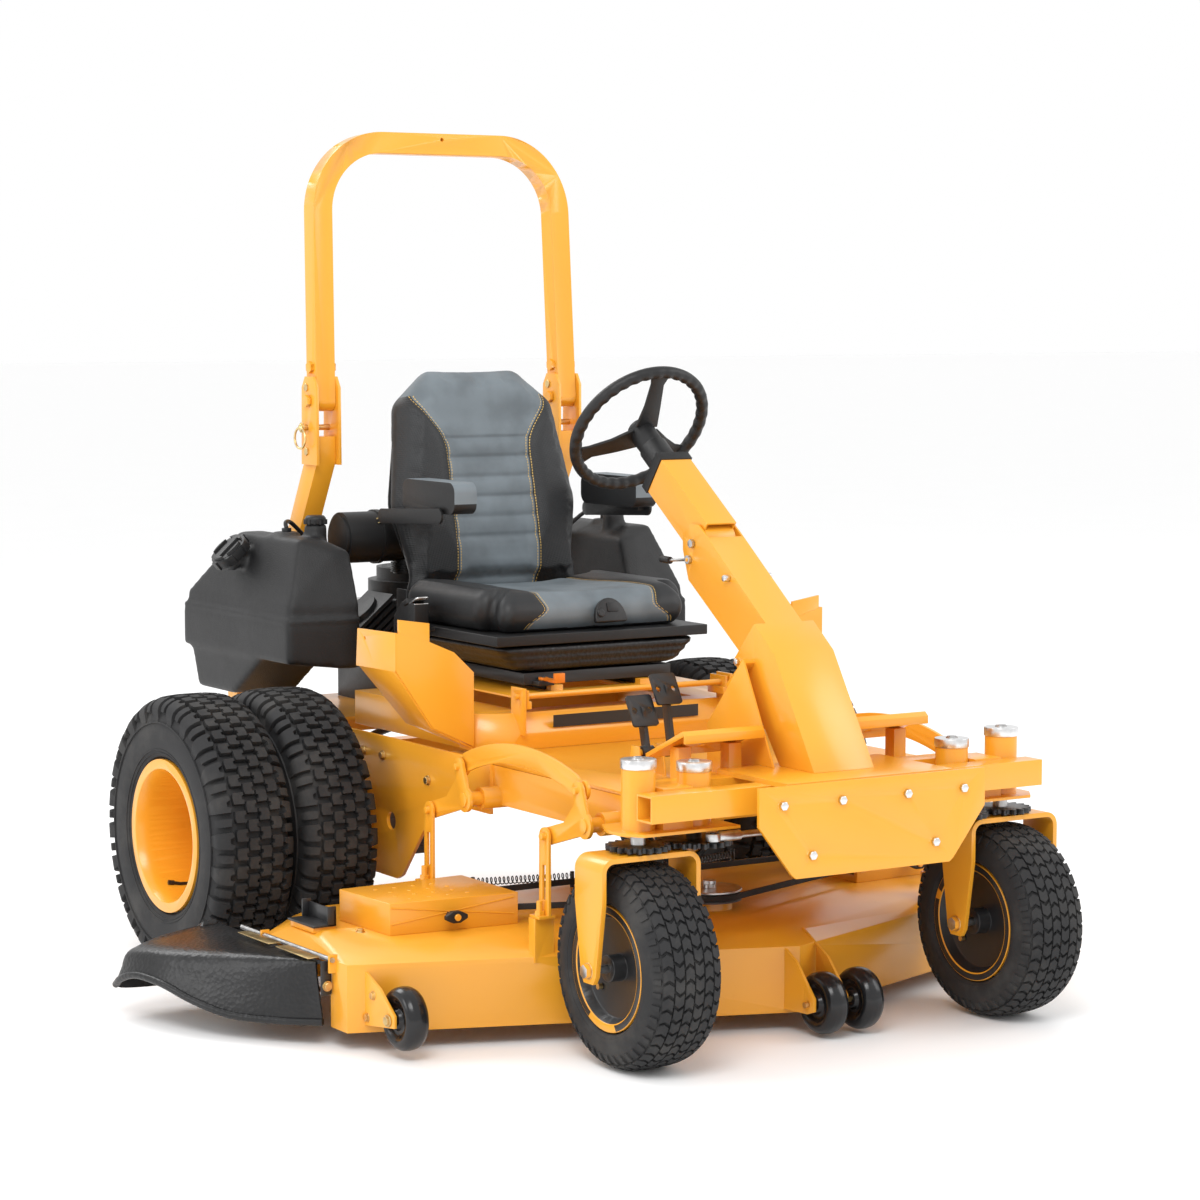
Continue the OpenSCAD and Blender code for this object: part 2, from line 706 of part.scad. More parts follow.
module front_tyre(s) color(tyre_grey) pick_side(s) turned_x(front_track_half, front_y, front_r)
    tyre_profile(front_r, front_tyre_w, 112.4, 60.5, 122);
module front_tyre_right() front_tyre(-1);
module front_tyre_left() front_tyre(1);

module front_rim(s) color(paint) pick_side(s) turned_x(front_track_half, front_y, front_r)
    polygon([[8.1, -70], [26, -70], [26, -40], [96, -52], [106, -72], [122, -72], [122, -61],
        [111.8, -61], [104, -50], [104, 50], [111.8, 61], [122, 61], [122, 72], [106, 72],
        [96, 52], [26, 40], [26, 70], [8.1, 70]]);
module front_rim_right() front_rim(-1);
module front_rim_left() front_rim(1);

module rear_tyres(s) color(tyre_grey) pick_side(s) for (x = [inner_x, outer_x])
    turned_x(x, 0, rear_r) tyre_profile(rear_r, rear_tyre_w, 153, 72.5, 167);
module rear_tyres_right() rear_tyres(-1);
module rear_tyres_left() rear_tyres(1);

module rear_rim_profile(dish) polygon([[146, -84], [167, -84], [167, -73], [152.5, -73],
    [144, -58], [144, 58], [152.5, 73], [167, 73], [167, 84], [146, 84], [138, 62], [136, dish + 6],
    [60, dish], [60, dish - 6], [136, dish - 2], [138, -62]]);

module rear_rims(s) color(paint) pick_side(s) {
    turned_x(inner_x, 0, rear_r) rear_rim_profile(-52);
    turned_x(outer_x, 0, rear_r) rear_rim_profile(-52);
    // hub sleeve that joins the two discs
    difference() {
        x_rod(486.6, 722, 0, rear_r, 130);
        x_rod(494, 730, 0, rear_r, 112);
    }
    for (k = [0:4]) translate([714, 0, rear_r]) rotate([k * 72, 0, 0])
        translate([0, 0, 88]) rotate([0, 90, 0]) cylinder(h = 16, d = 22, $fn = 6);
}
module rear_rims_right() rear_rims(-1);
module rear_rims_left() rear_rims(1);

// ---- deck ----

function deck_front(x) = nose_y + sweep * abs(x);

module deck_outline(inset) offset(delta = -inset) polygon([[-deck_half_w, deck_front(deck_half_w)],
    [0, nose_y], [deck_half_w, deck_front(deck_half_w)], [deck_half_w, -500], [720, -352],
    [420, -352], [240, -500], [-240, -500], [-420, -352], [-720, -352], [-deck_half_w, -500]]);

module spindle_places() {
    translate(centre_spindle) children();
    translate([side_spindle[0], side_spindle[1]]) children();
    translate([-side_spindle[0], side_spindle[1]]) children();
}

module deck_shell() color(paint) difference() {
    union() {
        difference() {
            union() {
                translate([0, 0, deck_low]) linear_extrude(skirt_top - deck_low) deck_outline(0);
                hull() {
                    translate([0, 0, skirt_top - 1]) linear_extrude(1) deck_outline(0);
                    translate([0, 0, deck_sheet_z - 1]) linear_extrude(1) deck_outline(58);
                }
            }
            translate([0, 0, deck_low - 1]) linear_extrude(skirt_top - deck_low - 5)
                deck_outline(deck_t);
            hull() {
                translate([0, 0, skirt_top - 12]) linear_extrude(1) deck_outline(deck_t + 1);
                translate([0, 0, deck_sheet_z - deck_t - 1]) linear_extrude(1)
                    deck_outline(deck_t + 56);
            }
            // discharge opening on the right
            box([-deck_half_w - 10, -790, 0], [-deck_half_w + 12, -520, 166]);
        }
        translate([0, 0, deck_sheet_z - 1]) linear_extrude(17) spindle_places() circle(r = 48);
        // lugs that the lift hangers stand on
        for (s = [-1, 1]) {
            box([s * 489 - 22, -548, deck_sheet_z - 6], [s * 489 + 22, -508, 250]);
            box([s * 489 - 22, -990, deck_sheet_z - 38], [s * 489 + 22, -965, 250]);
        }
        // roller brackets at the front corners and at the nose
        both_sides() yz(821, 827) polygon([[-850, 50], [-940, 62], [-988, 68], [-988, 92],
            [-930, 135], [-850, 168]]);
        for (x = [-30, 49]) yz(x, x + 6) polygon([[-1160, 46], [-1240, 50], [-1262, 58],
            [-1262, 84], [-1200, 150], [-1110, 196], [-1110, 170], [-1160, 165]]);
        // hinge bracket of the deflector
        box([-deck_half_w + 40, -640, 195], [-deck_half_w + 90, -540, 206]);
        box([-deck_half_w - 14, -812, 150], [-deck_half_w + 4, -806, 186]);
        box([-deck_half_w - 14, -516, 150], [-deck_half_w + 4, -510, 186]);
    }
    for (p = [centre_spindle, [side_spindle[0], side_spindle[1]],
        [-side_spindle[0], side_spindle[1]]]) z_rod(p[0], p[1], 0, 300, 25 + 2 * fit);
    both_sides() x_rod(740, 840, roller_y, roller_z, 12 + 2 * fit);
    x_rod(-60, 160, nose_roller_y, nose_roller_z, 12 + 2 * fit);
    translate([chute_hinge[0], -826, chute_hinge[1]]) rotate([-90, 0, 0])
        cylinder(h = 480, d = 10 + 2 * fit);
}

module belt_covers() color(paint) both_sides() {
    difference() {
        translate([0, 0, deck_sheet_z]) linear_extrude(65) polygon([[430, -790], [715, -768],
            [724, -570], [430, -560]]);
        translate([0, 0, deck_sheet_z - 1]) linear_extrude(62) polygon([[434, -786], [711, -764],
            [720, -574], [434, -564]]);
        box([425, -778, 216], [440, -567, 244]);
    }
    hex_head_y(585, -779, 232, 16, 16);
    hull() {
        translate([560, -812, 228]) cube([8, 10, 8]);
        translate([602, -812, 228]) cube([8, 10, 8]);
        translate([577, -812, 220]) cube([16, 14, 24]);
    }
}

module belt_loop(r) hull() spindle_places() circle(r = r);

module deck_belt() color(black) translate([0, 0, 224]) linear_extrude(12) difference() {
    belt_loop(pulley_r + 9);
    belt_loop(pulley_r + 0.6);
}

// Rubber deflector: a hood with its wide mouth at the deck and a slanted outer end.
module hood(t, past) hull() {
    translate([-878 + past, -794 + t, 44 - past]) cube([4, 394 - 2 * t, 4]);
    x_rod(-878 + past, -874 + past, -766, 142, 56 - 2 * t);
    x_rod(-878 + past, -874 + past, -428, 134, 56 - 2 * t);
    translate([-1012 - past, -616 + t, 44 - past]) cube([4, 4, 4]);
    translate([-1062 - past, -556, 112 - past / 3]) sphere(r = 26 - t, $fn = 24);
    translate([-1094 - past, -440, 126 - past / 3]) sphere(r = 26 - t, $fn = 24);
    translate([-1098 - past, -322, 98]) sphere(r = 26 - t, $fn = 24);
    translate([-1098 - past, -300 - t, 52 - past]) cube([4, 4, 4]);
}

module chute() color(black) {
    difference() {
        hood(0, 0);
        hood(7, 12);
        box([-892, -524, 130], [-860, -502, 230]);
    }
    difference() {
        box([-900, -790, 168], [-866, -412, 176]);
        box([-892, -524, 130], [-860, -502, 230]);
    }
    translate([chute_hinge[0], -815, chute_hinge[1]]) rotate([-90, 0, 0])
        cylinder(h = 400, d = 10);
}

module blade(p) {
    color(steel) translate([p[0], p[1], 0]) difference() {
        translate([-blade_l / 2, -31, 74]) cube([blade_l, 62, 6]);
        translate([-blade_l / 2 - 1, -32, 70]) cube([90, 20, 20]);
        translate([blade_l / 2 - 89, 12, 70]) cube([90, 20, 20]);
    }
    color(steel) z_rod(p[0], p[1], 62, 250, 25);
    color(steel) z_rod(p[0], p[1], 80, 150, 60);
    color(black) translate([p[0], p[1], 222]) rotate_extrude($fn = 64)
        polygon([[10, -4], [pulley_r + 6, -4], [pulley_r + 6, 0], [pulley_r, 1], [pulley_r, 15],
            [pulley_r + 6, 16], [pulley_r + 6, 20], [10, 20]]);
    color(steel) hex_head_z(p[0], p[1], 250, 26, 8);
}
module blade_centre() blade(centre_spindle);
module blade_right() blade([-side_spindle[0], side_spindle[1]]);
module blade_left() blade([side_spindle[0], side_spindle[1]]);

module roller(x, y, z, w) turned_x(x, y, z) polygon([[5, -w / 2], [20, -w / 2],
    [24, -w / 2 + 8], [roller_r - 14, -w / 2 + 4], [roller_r - 4, -w / 2 + 6], [roller_r, -8],
    [roller_r, 8], [roller_r - 4, w / 2 - 6], [roller_r - 14, w / 2 - 4], [24, w / 2 - 8],
    [20, w / 2], [5, w / 2]]);

module roller_right() {
    color(black) roller(-790, roller_y, roller_z, 50);
    color(steel) x_rod(-832, -762, roller_y, roller_z, 12);
}
module roller_left() {
    color(black) roller(790, roller_y, roller_z, 50);
    color(steel) x_rod(762, 832, roller_y, roller_z, 12);
}
module nose_rollers() {
    color(black) roller(8, nose_roller_y, nose_roller_z, 50);
    color(black) roller(96, nose_roller_y, nose_roller_z, 50);
    color(steel) x_rod(-40, 126, nose_roller_y, nose_roller_z, 12);
}

// Cross shaft with a bell crank at each end.
module lift_shaft(at) color(paint) {
    x_rod(-crank_x - 12, crank_x + 12, at[0], at[1], shaft_d);
    both_sides() {
        yz(crank_x, crank_x + 8) {
            translate(at) circle(d = 52);
            yz_bar(at, at + hanger_arm, 36);
            yz_bar(at, at + link_arm, 36);
            polygon([at, at + 0.75 * hanger_arm, at + 0.8 * link_arm]);
        }
        x_rod(crank_x, crank_x + 26, at[0] + hanger_arm[0], at[1] + hanger_arm[1], 14);
        x_rod(crank_x - 18, crank_x + 16, at[0] + link_arm[0], at[1] + link_arm[1], 14);
    }
}
module lift_shaft_rear() lift_shaft(lift_rear);
module lift_shaft_front() lift_shaft(lift_front);

// Arched bars that make the front cranks follow the rear ones.
module drag_links() color(paint) both_sides() {
    a = lift_rear + link_arm;
    b = lift_front + link_arm;
    r = 620;
    mid = (a + b) / 2;
    half = norm(a - b) / 2;
    centre = mid - [0, sqrt(r * r - half * half)];
    yz(crank_x - 12, crank_x - 4) difference() {
        union() {
            intersection() {
                difference() {
                    translate(centre) circle(r = r + 20, $fn = 180);
                    translate(centre) circle(r = r - 20, $fn = 180);
                }
                translate([b[0], b[1] - 80]) square([a[0] - b[0], 200]);
            }
            translate(a) circle(d = 40);
            translate(b) circle(d = 40);
        }
        translate(a) circle(d = 14 + 2 * fit);
        translate(b) circle(d = 14.6);
    }
}

module hanger(at) {
    pin = at + hanger_arm;
    both_sides() {
        yz(crank_x + 12, crank_x + 18) difference() {
            union() {
                translate([pin[0] - 18, 252]) square([36, pin[1] - 252]);
                translate(pin) circle(d = 36);
            }
            translate(pin) circle(d = 14 + 2 * fit);
            translate([pin[0] - 6, 285]) square([12, 70]);
        }
        box([crank_x + 2, pin[0] - 18, 250.5], [crank_x + 40, pin[0] + 18, 256]);
        z_rod(crank_x + 28, pin[0], 252, 285, 12);
        hex_head_z(crank_x + 28, pin[0], 256, 18, 9);
    }
}
module deck_hangers() color(paint) {
    hanger(lift_rear);
    hanger(lift_front);
}

// ---- pedals ----

module pedal(x, pad) color(black) difference() {
    union() {
        x_rod(x - 14, x + 14, pedal_pivot[0], pedal_pivot[1], 26);
        yz(x - 4, x + 4) yz_bar(pedal_pivot, pad, 22);
        hull() for (dx = [-24, 24], k = [-1, 1]) translate([x + dx, pad[0] + k * 14,
            pad[1] + k * 24]) rotate([60, 0, 0]) cylinder(h = 6, d = 12, $fn = 24);
    }
    for (dx = [-18, 18]) translate([x + dx, pad[0], pad[1]]) rotate([60, 0, 0])
        cylinder(h = 60, d = 12, center = true);
    x_rod(x - 20, x + 20, pedal_pivot[0], pedal_pivot[1], 14 + 2 * fit);
}
module pedal_forward() pedal(-240, [-955, 640]);
module pedal_reverse() pedal(-180, [-950, 680]);

module place() translate([-mid_x, -mid_y, 0]) children();

place() main_frame();
place() seat_box();
place() floor_pan();
place() fender_panels();
place() fuel_tanks();
place() front_beam();
place() front_plate();
place() column_base();
place() rops_legs();
place() engine();
place() air_cleaner();
place() hydro_drives();
place() chassis_fasteners();
place() seat_platform();
place() suspension_base();
place() suspension_bellows();
place() seat_shell();
place() seat_cushion();
place() seat_back();
place() armrest_right();
place() armrest_left();
place() seat_lever();
place() column_tube();
place() steering_wheel();
place() tilt_lever();
place() drive_gear_right();
place() drive_gear_left();
place() pitman_arm();
place() tie_rods();
place() fork_right();
place() fork_left();
place() front_tyre_right();
place() front_tyre_left();
place() front_rim_right();
place() front_rim_left();
place() rear_tyres_right();
place() rear_tyres_left();
place() rear_rims_right();
place() rear_rims_left();
place() deck_shell();
place() belt_covers();
place() deck_belt();
place() chute();
place() lift_shaft_rear();
place() lift_shaft_front();
place() drag_links();
place() deck_hangers();
place() blade_centre();
place() blade_right();
place() blade_left();
place() roller_right();
place() roller_left();
place() nose_rollers();
place() pedal_forward();
place() pedal_reverse();
place() rops_hoop();
place() rops_pin_right();
place() rops_pin_left();
place() fuel_cap_right();
place() fuel_cap_left();
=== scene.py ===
"""Zero turn mower: the finished pieces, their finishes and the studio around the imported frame."""

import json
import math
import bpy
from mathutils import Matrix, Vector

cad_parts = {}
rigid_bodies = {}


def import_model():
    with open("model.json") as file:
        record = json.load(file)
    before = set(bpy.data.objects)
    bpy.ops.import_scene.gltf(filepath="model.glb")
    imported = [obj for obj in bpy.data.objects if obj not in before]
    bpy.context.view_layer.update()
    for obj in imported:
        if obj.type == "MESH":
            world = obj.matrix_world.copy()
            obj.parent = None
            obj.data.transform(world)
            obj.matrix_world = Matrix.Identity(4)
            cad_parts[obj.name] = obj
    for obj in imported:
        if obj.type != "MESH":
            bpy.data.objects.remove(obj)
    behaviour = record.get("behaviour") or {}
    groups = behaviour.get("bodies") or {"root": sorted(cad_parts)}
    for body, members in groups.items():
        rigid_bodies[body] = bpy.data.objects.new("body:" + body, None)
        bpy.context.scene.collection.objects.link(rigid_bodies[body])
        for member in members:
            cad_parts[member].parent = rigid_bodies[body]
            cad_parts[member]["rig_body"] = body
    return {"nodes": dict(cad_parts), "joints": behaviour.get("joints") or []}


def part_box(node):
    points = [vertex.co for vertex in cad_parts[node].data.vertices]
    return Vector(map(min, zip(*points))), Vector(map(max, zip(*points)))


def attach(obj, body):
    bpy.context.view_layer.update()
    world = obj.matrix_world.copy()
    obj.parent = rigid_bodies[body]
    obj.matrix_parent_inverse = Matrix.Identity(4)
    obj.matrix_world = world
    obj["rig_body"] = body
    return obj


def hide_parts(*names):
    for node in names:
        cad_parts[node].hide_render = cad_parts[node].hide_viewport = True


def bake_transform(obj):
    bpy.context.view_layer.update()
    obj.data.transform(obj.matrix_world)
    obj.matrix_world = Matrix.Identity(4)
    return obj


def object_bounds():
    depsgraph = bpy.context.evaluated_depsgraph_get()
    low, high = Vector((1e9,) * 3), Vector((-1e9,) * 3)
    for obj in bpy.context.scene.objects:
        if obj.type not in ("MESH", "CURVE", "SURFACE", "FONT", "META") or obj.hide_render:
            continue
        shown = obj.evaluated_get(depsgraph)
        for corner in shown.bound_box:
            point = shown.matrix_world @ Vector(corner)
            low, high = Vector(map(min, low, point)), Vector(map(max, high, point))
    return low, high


bl_info = {
    "name": "Zero Turn Mower",
    "version": (1, 0, 0),
    "blender": (4, 5, 0),
    "location": "3D View > Sidebar > Mower",
    "description": "Builds the visible pieces of a zero turn mower on its packed frame",
    "category": "Object",
}

from math import cos, pi, radians, sin

import bmesh
import bpy
from bpy.props import FloatProperty, FloatVectorProperty, IntProperty, PointerProperty
from mathutils import Matrix, Vector

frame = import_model()
cad_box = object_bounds()

# The machine's own zero point: the middle of the rear axle line, on the ground.
_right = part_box("rear_tyres_right")
_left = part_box("rear_tyres_left")
ORIGIN = Vector(((_right[0].x + _left[1].x) / 2, (_right[0].y + _right[1].y) / 2, 0))
JOINTS = {j["name"]: j for j in frame["joints"]}

# In millimetres from that point: the rear axle's height, the front axle's y and z, and how far
# a front wheel's middle is to the side.
REAR_AXLE_Z = 305
FRONT_AXLE = (-1256, 198.5)
FRONT_TRACK = 443


def at(x, y, z):
    """A place given in millimetres from the middle of the rear axle, as a point of the frame."""
    return ORIGIN + Vector((x, y, z)) / 1000


def local(point):
    """A point of the frame in millimetres from the middle of the rear axle."""
    return (Vector(point) - ORIGIN) * 1000


def pivot(joint):
    """Where a joint's axis stands, as a point of the frame."""
    return Vector(JOINTS[joint]["pos_m"])


def ease(value, low, high):
    """0 below low, 1 above high and a smooth step between them."""
    t = min(max((value - low) / (high - low), 0), 1)
    return t * t * (3 - 2 * t)


# ---- finishes ----


class Flow:
    """An output socket of a finish, which can be used in sums."""

    def __init__(self, finish, socket):
        self.finish, self.socket = finish, socket

    def _sum(self, operation, *values):
        return self.finish.node("ShaderNodeMath", {"operation": operation}, dict(enumerate(values)))

    def __add__(self, other):
        return self._sum("ADD", self, other)

    def __radd__(self, other):
        return self._sum("ADD", other, self)

    def __sub__(self, other):
        return self._sum("SUBTRACT", self, other)

    def __rsub__(self, other):
        return self._sum("SUBTRACT", other, self)

    def __mul__(self, other):
        return self._sum("MULTIPLY", self, other)

    def __rmul__(self, other):
        return self._sum("MULTIPLY", other, self)

    def __truediv__(self, other):
        return self._sum("DIVIDE", self, other)

    def __gt__(self, other):
        return self._sum("GREATER_THAN", self, other)

    def __lt__(self, other):
        return self._sum("LESS_THAN", self, other)

    def __abs__(self):
        return self._sum("ABSOLUTE", self)

    def sine(self):
        return self._sum("SINE", self)

    def clamp(self, low=0.0, high=1.0):
        return self._sum("MINIMUM", self._sum("MAXIMUM", self, low), high)

    def step(self, low, high):
        """0 below low, 1 above high, smooth between them."""
        return self.finish.node(
            "ShaderNodeMapRange",
            {"interpolation_type": "SMOOTHSTEP"},
            {"Value": self, "From Min": low, "From Max": high},
        )


class Finish:
    """A material and its nodes, with one Principled shader."""

    def __init__(self, name):
        self.material = bpy.data.materials.new(name)
        self.material.use_nodes = True
        self.tree = self.material.node_tree
        self.shader = self.tree.nodes["Principled BSDF"]

    def node(self, kind, settings=None, inputs=None, output=0):
        made = self.tree.nodes.new(kind)
        for key, value in (settings or {}).items():
            setattr(made, key, value)
        for key, value in (inputs or {}).items():
            self.put(made.inputs[key], value)
        return Flow(self, made.outputs[output])

    def put(self, socket, value):
        if isinstance(value, Flow):
            self.tree.links.new(value.socket, socket)
        else:
            socket.default_value = value

    def set(self, **inputs):
        for key, value in inputs.items():
            self.put(self.shader.inputs[key.replace("_", " ")], value)
        return self

    @property
    def place(self):
        return self.node("ShaderNodeTexCoord", output="Object")

    def axes(self):
        split = self.tree.nodes.new("ShaderNodeSeparateXYZ")
        self.tree.links.new(self.place.socket, split.inputs[0])
        return [Flow(self, s) for s in split.outputs]

    def attribute(self, name):
        return self.node("ShaderNodeAttribute", {"attribute_name": name}, output="Fac")

    def noise(self, scale, detail=3.0, roughness=0.55, vector=None):
        return self.node(
            "ShaderNodeTexNoise",
            {},
            {"Vector": vector or self.place, "Scale": scale, "Detail": detail, "Roughness": roughness},
        )

    def cells(self, scale, feature="F1", vector=None):
        return self.node(
            "ShaderNodeTexVoronoi",
            {"feature": feature},
            {"Vector": vector or self.place, "Scale": scale},
        )

    def mix(self, factor, first, second):
        """A colour between two colours."""
        return self.node(
            "ShaderNodeMix",
            {"data_type": "RGBA"},
            {0: factor, 6: colour(first), 7: colour(second)},
            output=2,
        )

    def bump(self, height, distance, strength=1.0):
        return self.node(
            "ShaderNodeBump", {}, {"Height": height, "Distance": distance, "Strength": strength}
        )


def colour(value):
    """A colour with its alpha, or a link left as it is."""
    return value if isinstance(value, Flow) else (*value, 1.0) if len(value) == 3 else value


def painted(name, base, dark, rough, coat=0.35):
    """Powder coat: fine orange peel and a cloudy tone."""
    f = Finish(name)
    cloud = f.noise(3.1, 4)
    peel = f.noise(620, 2)
    f.set(
        Base_Color=f.mix((cloud - 0.35).clamp() * 0.9, base, dark),
        Roughness=rough + 0.12 * f.noise(22, 5),
        Normal=f.bump(peel, 0.00012, 0.35),
    )
    f.put(f.shader.inputs["Coat Weight"], coat)
    f.put(f.shader.inputs["Coat Roughness"], 0.18)
    return f.material


def tyre_rubber(name, base, dusty):
    """Moulded rubber: patchy dust and a dull grain."""
    f = Finish(name)
    dust = f.noise(9, 6, 0.65)
    grain = f.noise(900, 3)
    f.set(
        Base_Color=f.mix(dust.step(0.42, 0.75), base, dusty),
        Roughness=0.62 + 0.2 * dust,
        Normal=f.bump(grain, 0.0003, 0.5),
    )
    f.put(f.shader.inputs["Specular IOR Level"], 0.35)
    return f.material


def moulded(name, base, light, rough, scale, depth):
    """Moulded plastic with a leathery texture of a given scale and depth."""
    f = Finish(name)
    pits = f.cells(scale)
    cloud = f.noise(7, 4)
    f.set(
        Base_Color=f.mix(cloud.step(0.35, 0.8), base, light),
        Roughness=rough + 0.1 * f.noise(60, 3),
        Normal=f.bump(pits + 0.5 * f.noise(scale * 1.7, 2), depth, 0.6),
    )
    f.put(f.shader.inputs["Specular IOR Level"], 0.4)
    return f.material


def metal(name, base, dark, rough, grain=(40, 400, 400)):
    """Plated or machined metal with fine drawn lines and a mottled tone."""
    f = Finish(name)
    lines = f.noise(
        3, 3, vector=f.node("ShaderNodeMapping", {}, {"Vector": f.place, "Scale": grain})
    )
    tone = f.noise(55, 4)
    f.set(
        Base_Color=f.mix(tone.step(0.35, 0.7), base, dark),
        Metallic=1.0,
        Roughness=rough + 0.2 * lines,
        Normal=f.bump(lines, 0.00008, 0.4),
    )
    return f.material


def seat_cloth(name, grey, black):
    """Seat cover: smooth vinyl in the middle, carbon weave on the wings, gold stitches between.

    The attribute seam is the distance inside the middle panel, run is the way along the seam,
    and wing is 1 where the cover has the weave.
    """
    f = Finish(name)
    seam, run, wing = f.attribute("seam"), f.attribute("run"), f.attribute("wing")
    x, _, z = f.axes()
    middle = seam.step(-0.0006, 0.0006)
    grain = f.cells(1150) + 0.6 * f.noise(700, 3)
    weave = ((z * 900 + x * 620).sine() * (z * 620 - x * 900).sine()) * wing
    wrinkle_shade = f.noise(14, 3, 0.45)
    dash = (run * 2 * pi / 0.0065).sine() > -0.35
    line = (abs(abs(seam) - 0.0042) < 0.0009) * dash
    leather = f.mix(middle, black, grey)
    # painted shade: soft noise patches pull the cover towards a dark blue grey, standing in for shade in
    # wrinkles that the cover's shape does not have
    shaded_leather = f.mix(wrinkle_shade.step(0.3, 0.75) * 0.35, leather, (0.02, 0.023, 0.026))
    f.set(
        Base_Color=f.mix(line, shaded_leather, (0.62, 0.4, 0.1)),
        Roughness=0.44 + 0.12 * f.noise(90, 3) + 0.1 * middle,
        Normal=f.bump(grain * 0.25 + weave * 1.3 + line * 1.5, 0.0004, 0.5),
    )
    f.put(f.shader.inputs["Specular IOR Level"], 0.45)
    return f.material


def simple_vinyl(name, base, dark):
    """Plain soft vinyl with a leather grain."""
    f = Finish(name)
    grain = f.cells(1150) + 0.6 * f.noise(700, 3)
    f.set(
        Base_Color=f.mix(f.noise(14, 3).step(0.35, 0.75), base, dark),
        Roughness=0.46 + 0.14 * f.noise(90, 3),
        Normal=f.bump(grain, 0.0003, 0.35),
    )
    return f.material


FINISHES = {}


def make_finishes(paint):
    """Every finish of the machine, by the name of its slot."""
    shade = [c * k for c, k in zip(paint, (0.9, 0.82, 0.7))]
    FINISHES.update(
        yellow_paint=painted("yellow_paint", tuple(paint), tuple(shade), 0.26),
        black_paint=painted("black_paint", (0.012, 0.012, 0.013), (0.02, 0.02, 0.021), 0.36, 0.2),
        tyre=tyre_rubber("tyre", (0.017, 0.017, 0.018), (0.045, 0.043, 0.041)),
        steel=metal("steel", (0.6, 0.6, 0.6), (0.42, 0.41, 0.4), 0.22),
        gold_zinc=metal("gold_zinc", (0.78, 0.6, 0.28), (0.6, 0.42, 0.2), 0.24),
        aluminium=metal("aluminium", (0.78, 0.78, 0.78), (0.66, 0.66, 0.66), 0.2, (3, 3, 900)),
        cast_metal=moulded("cast_metal", (0.1, 0.105, 0.11), (0.15, 0.155, 0.16), 0.5, 420, 0.0005),
        tank_plastic=moulded(
            "tank_plastic", (0.0075, 0.0075, 0.008), (0.014, 0.014, 0.0145), 0.46, 420, 0.0007
        ),
        black_plastic=moulded(
            "black_plastic", (0.008, 0.008, 0.0085), (0.014, 0.014, 0.0145), 0.4, 900, 0.0002
        ),
        black_rubber=moulded(
            "black_rubber", (0.0075, 0.0075, 0.008), (0.02, 0.02, 0.021), 0.3, 110, 0.0012
        ),
        roller_rubber=moulded(
            "roller_rubber", (0.009, 0.009, 0.01), (0.013, 0.013, 0.014), 0.17, 260, 0.00006
        ),
        vinyl_grey=simple_vinyl("vinyl_grey", (0.16, 0.19, 0.21), (0.13, 0.155, 0.175)),
        cover=seat_cloth("cover", (0.155, 0.185, 0.205), (0.011, 0.0115, 0.0125)),
        belt=tyre_rubber("belt", (0.02, 0.02, 0.02), (0.04, 0.04, 0.04)),
        orange_plastic=moulded(
            "orange_plastic", (0.8, 0.22, 0.015), (0.72, 0.19, 0.012), 0.3, 900, 0.0001
        ),
    )


# ---- making pieces ----


def as_object(name, bm):
    """A new object of the scene that holds a bmesh, which is freed."""
    mesh = bpy.data.meshes.new(name)
    bm.to_mesh(mesh)
    bm.free()
    made = bpy.data.objects.new(name, mesh)
    bpy.context.scene.collection.objects.link(made)
    return made


def finish_piece(made, body, slot, nodes, finishes=None, smooth=180):
    """Gives an object its finish, its body and the nodes it stands for."""
    for finish in finishes or [slot]:
        made.data.materials.append(FINISHES[finish])
    made.data.shade_smooth()
    if smooth < 180:
        made.data.set_sharp_from_angle(angle=radians(smooth))
    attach(made, body)
    if nodes:
        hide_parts(*nodes)
    return made


def piece(name, bm, body, slot, nodes=(), finishes=None, smooth=32):
    """Turns a finished bmesh into a piece that rides on a body and stands for CAD nodes."""
    return finish_piece(as_object(name, bm), body, slot, nodes, finishes, smooth)


def body_of(node):
    return frame["nodes"][node]["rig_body"]


def merged(node):
    """A copy of a CAD node's mesh with its loose triangles joined."""
    bm = bmesh.new()
    bm.from_mesh(frame["nodes"][node].data)
    bmesh.ops.remove_doubles(bm, verts=bm.verts, dist=1e-5)
    for face in bm.faces:
        face.material_index = 0
    return bm


def sharp_edges(bm, angle=50):
    """The edges where two faces meet at more than an angle in degrees."""
    return [e for e in bm.edges if len(e.link_faces) == 2 and e.calc_face_angle(0) > radians(angle)]


def bevelled(bm, edges, width, segments=2):
    """Rounds edges by a width in millimetres."""
    bmesh.ops.bevel(
        bm, geom=edges, offset=width / 1000, segments=segments, profile=0.5, affect="EDGES",
        clamp_overlap=True, material=-1,
    )


def round_edges(bm, width, segments=2, angle=38):
    """Rounds the sharp edges of a bmesh, as a press or a mould leaves them."""
    bmesh.ops.dissolve_limit(bm, angle_limit=radians(0.8), verts=bm.verts, edges=bm.edges)
    bevelled(bm, sharp_edges(bm, angle), width, segments)


def softened(node, width=1.2, segments=2, regions=(), name=None, angle=38, slot="yellow_paint"):
    """A CAD node with rounded edges. regions is pairs of a finish and a test of a face's place."""
    bm = merged(node)
    round_edges(bm, width, segments, angle)
    for number, (_, inside) in enumerate(regions, 1):
        for face in bm.faces:
            if inside(local(face.calc_center_median())):
                face.material_index = number
    finishes = [slot] + [finish for finish, _ in regions]
    return piece(name or node + "_skin", bm, body_of(node), slot, [node], finishes)


def join(bm, other, matrix=None):
    """Adds a bmesh to another one, and frees it."""
    if matrix is not None:
        bmesh.ops.transform(other, matrix=matrix, verts=other.verts)
    scratch = bpy.data.meshes.new("scratch")
    other.to_mesh(scratch)
    other.free()
    bm.from_mesh(scratch)
    bpy.data.meshes.remove(scratch)


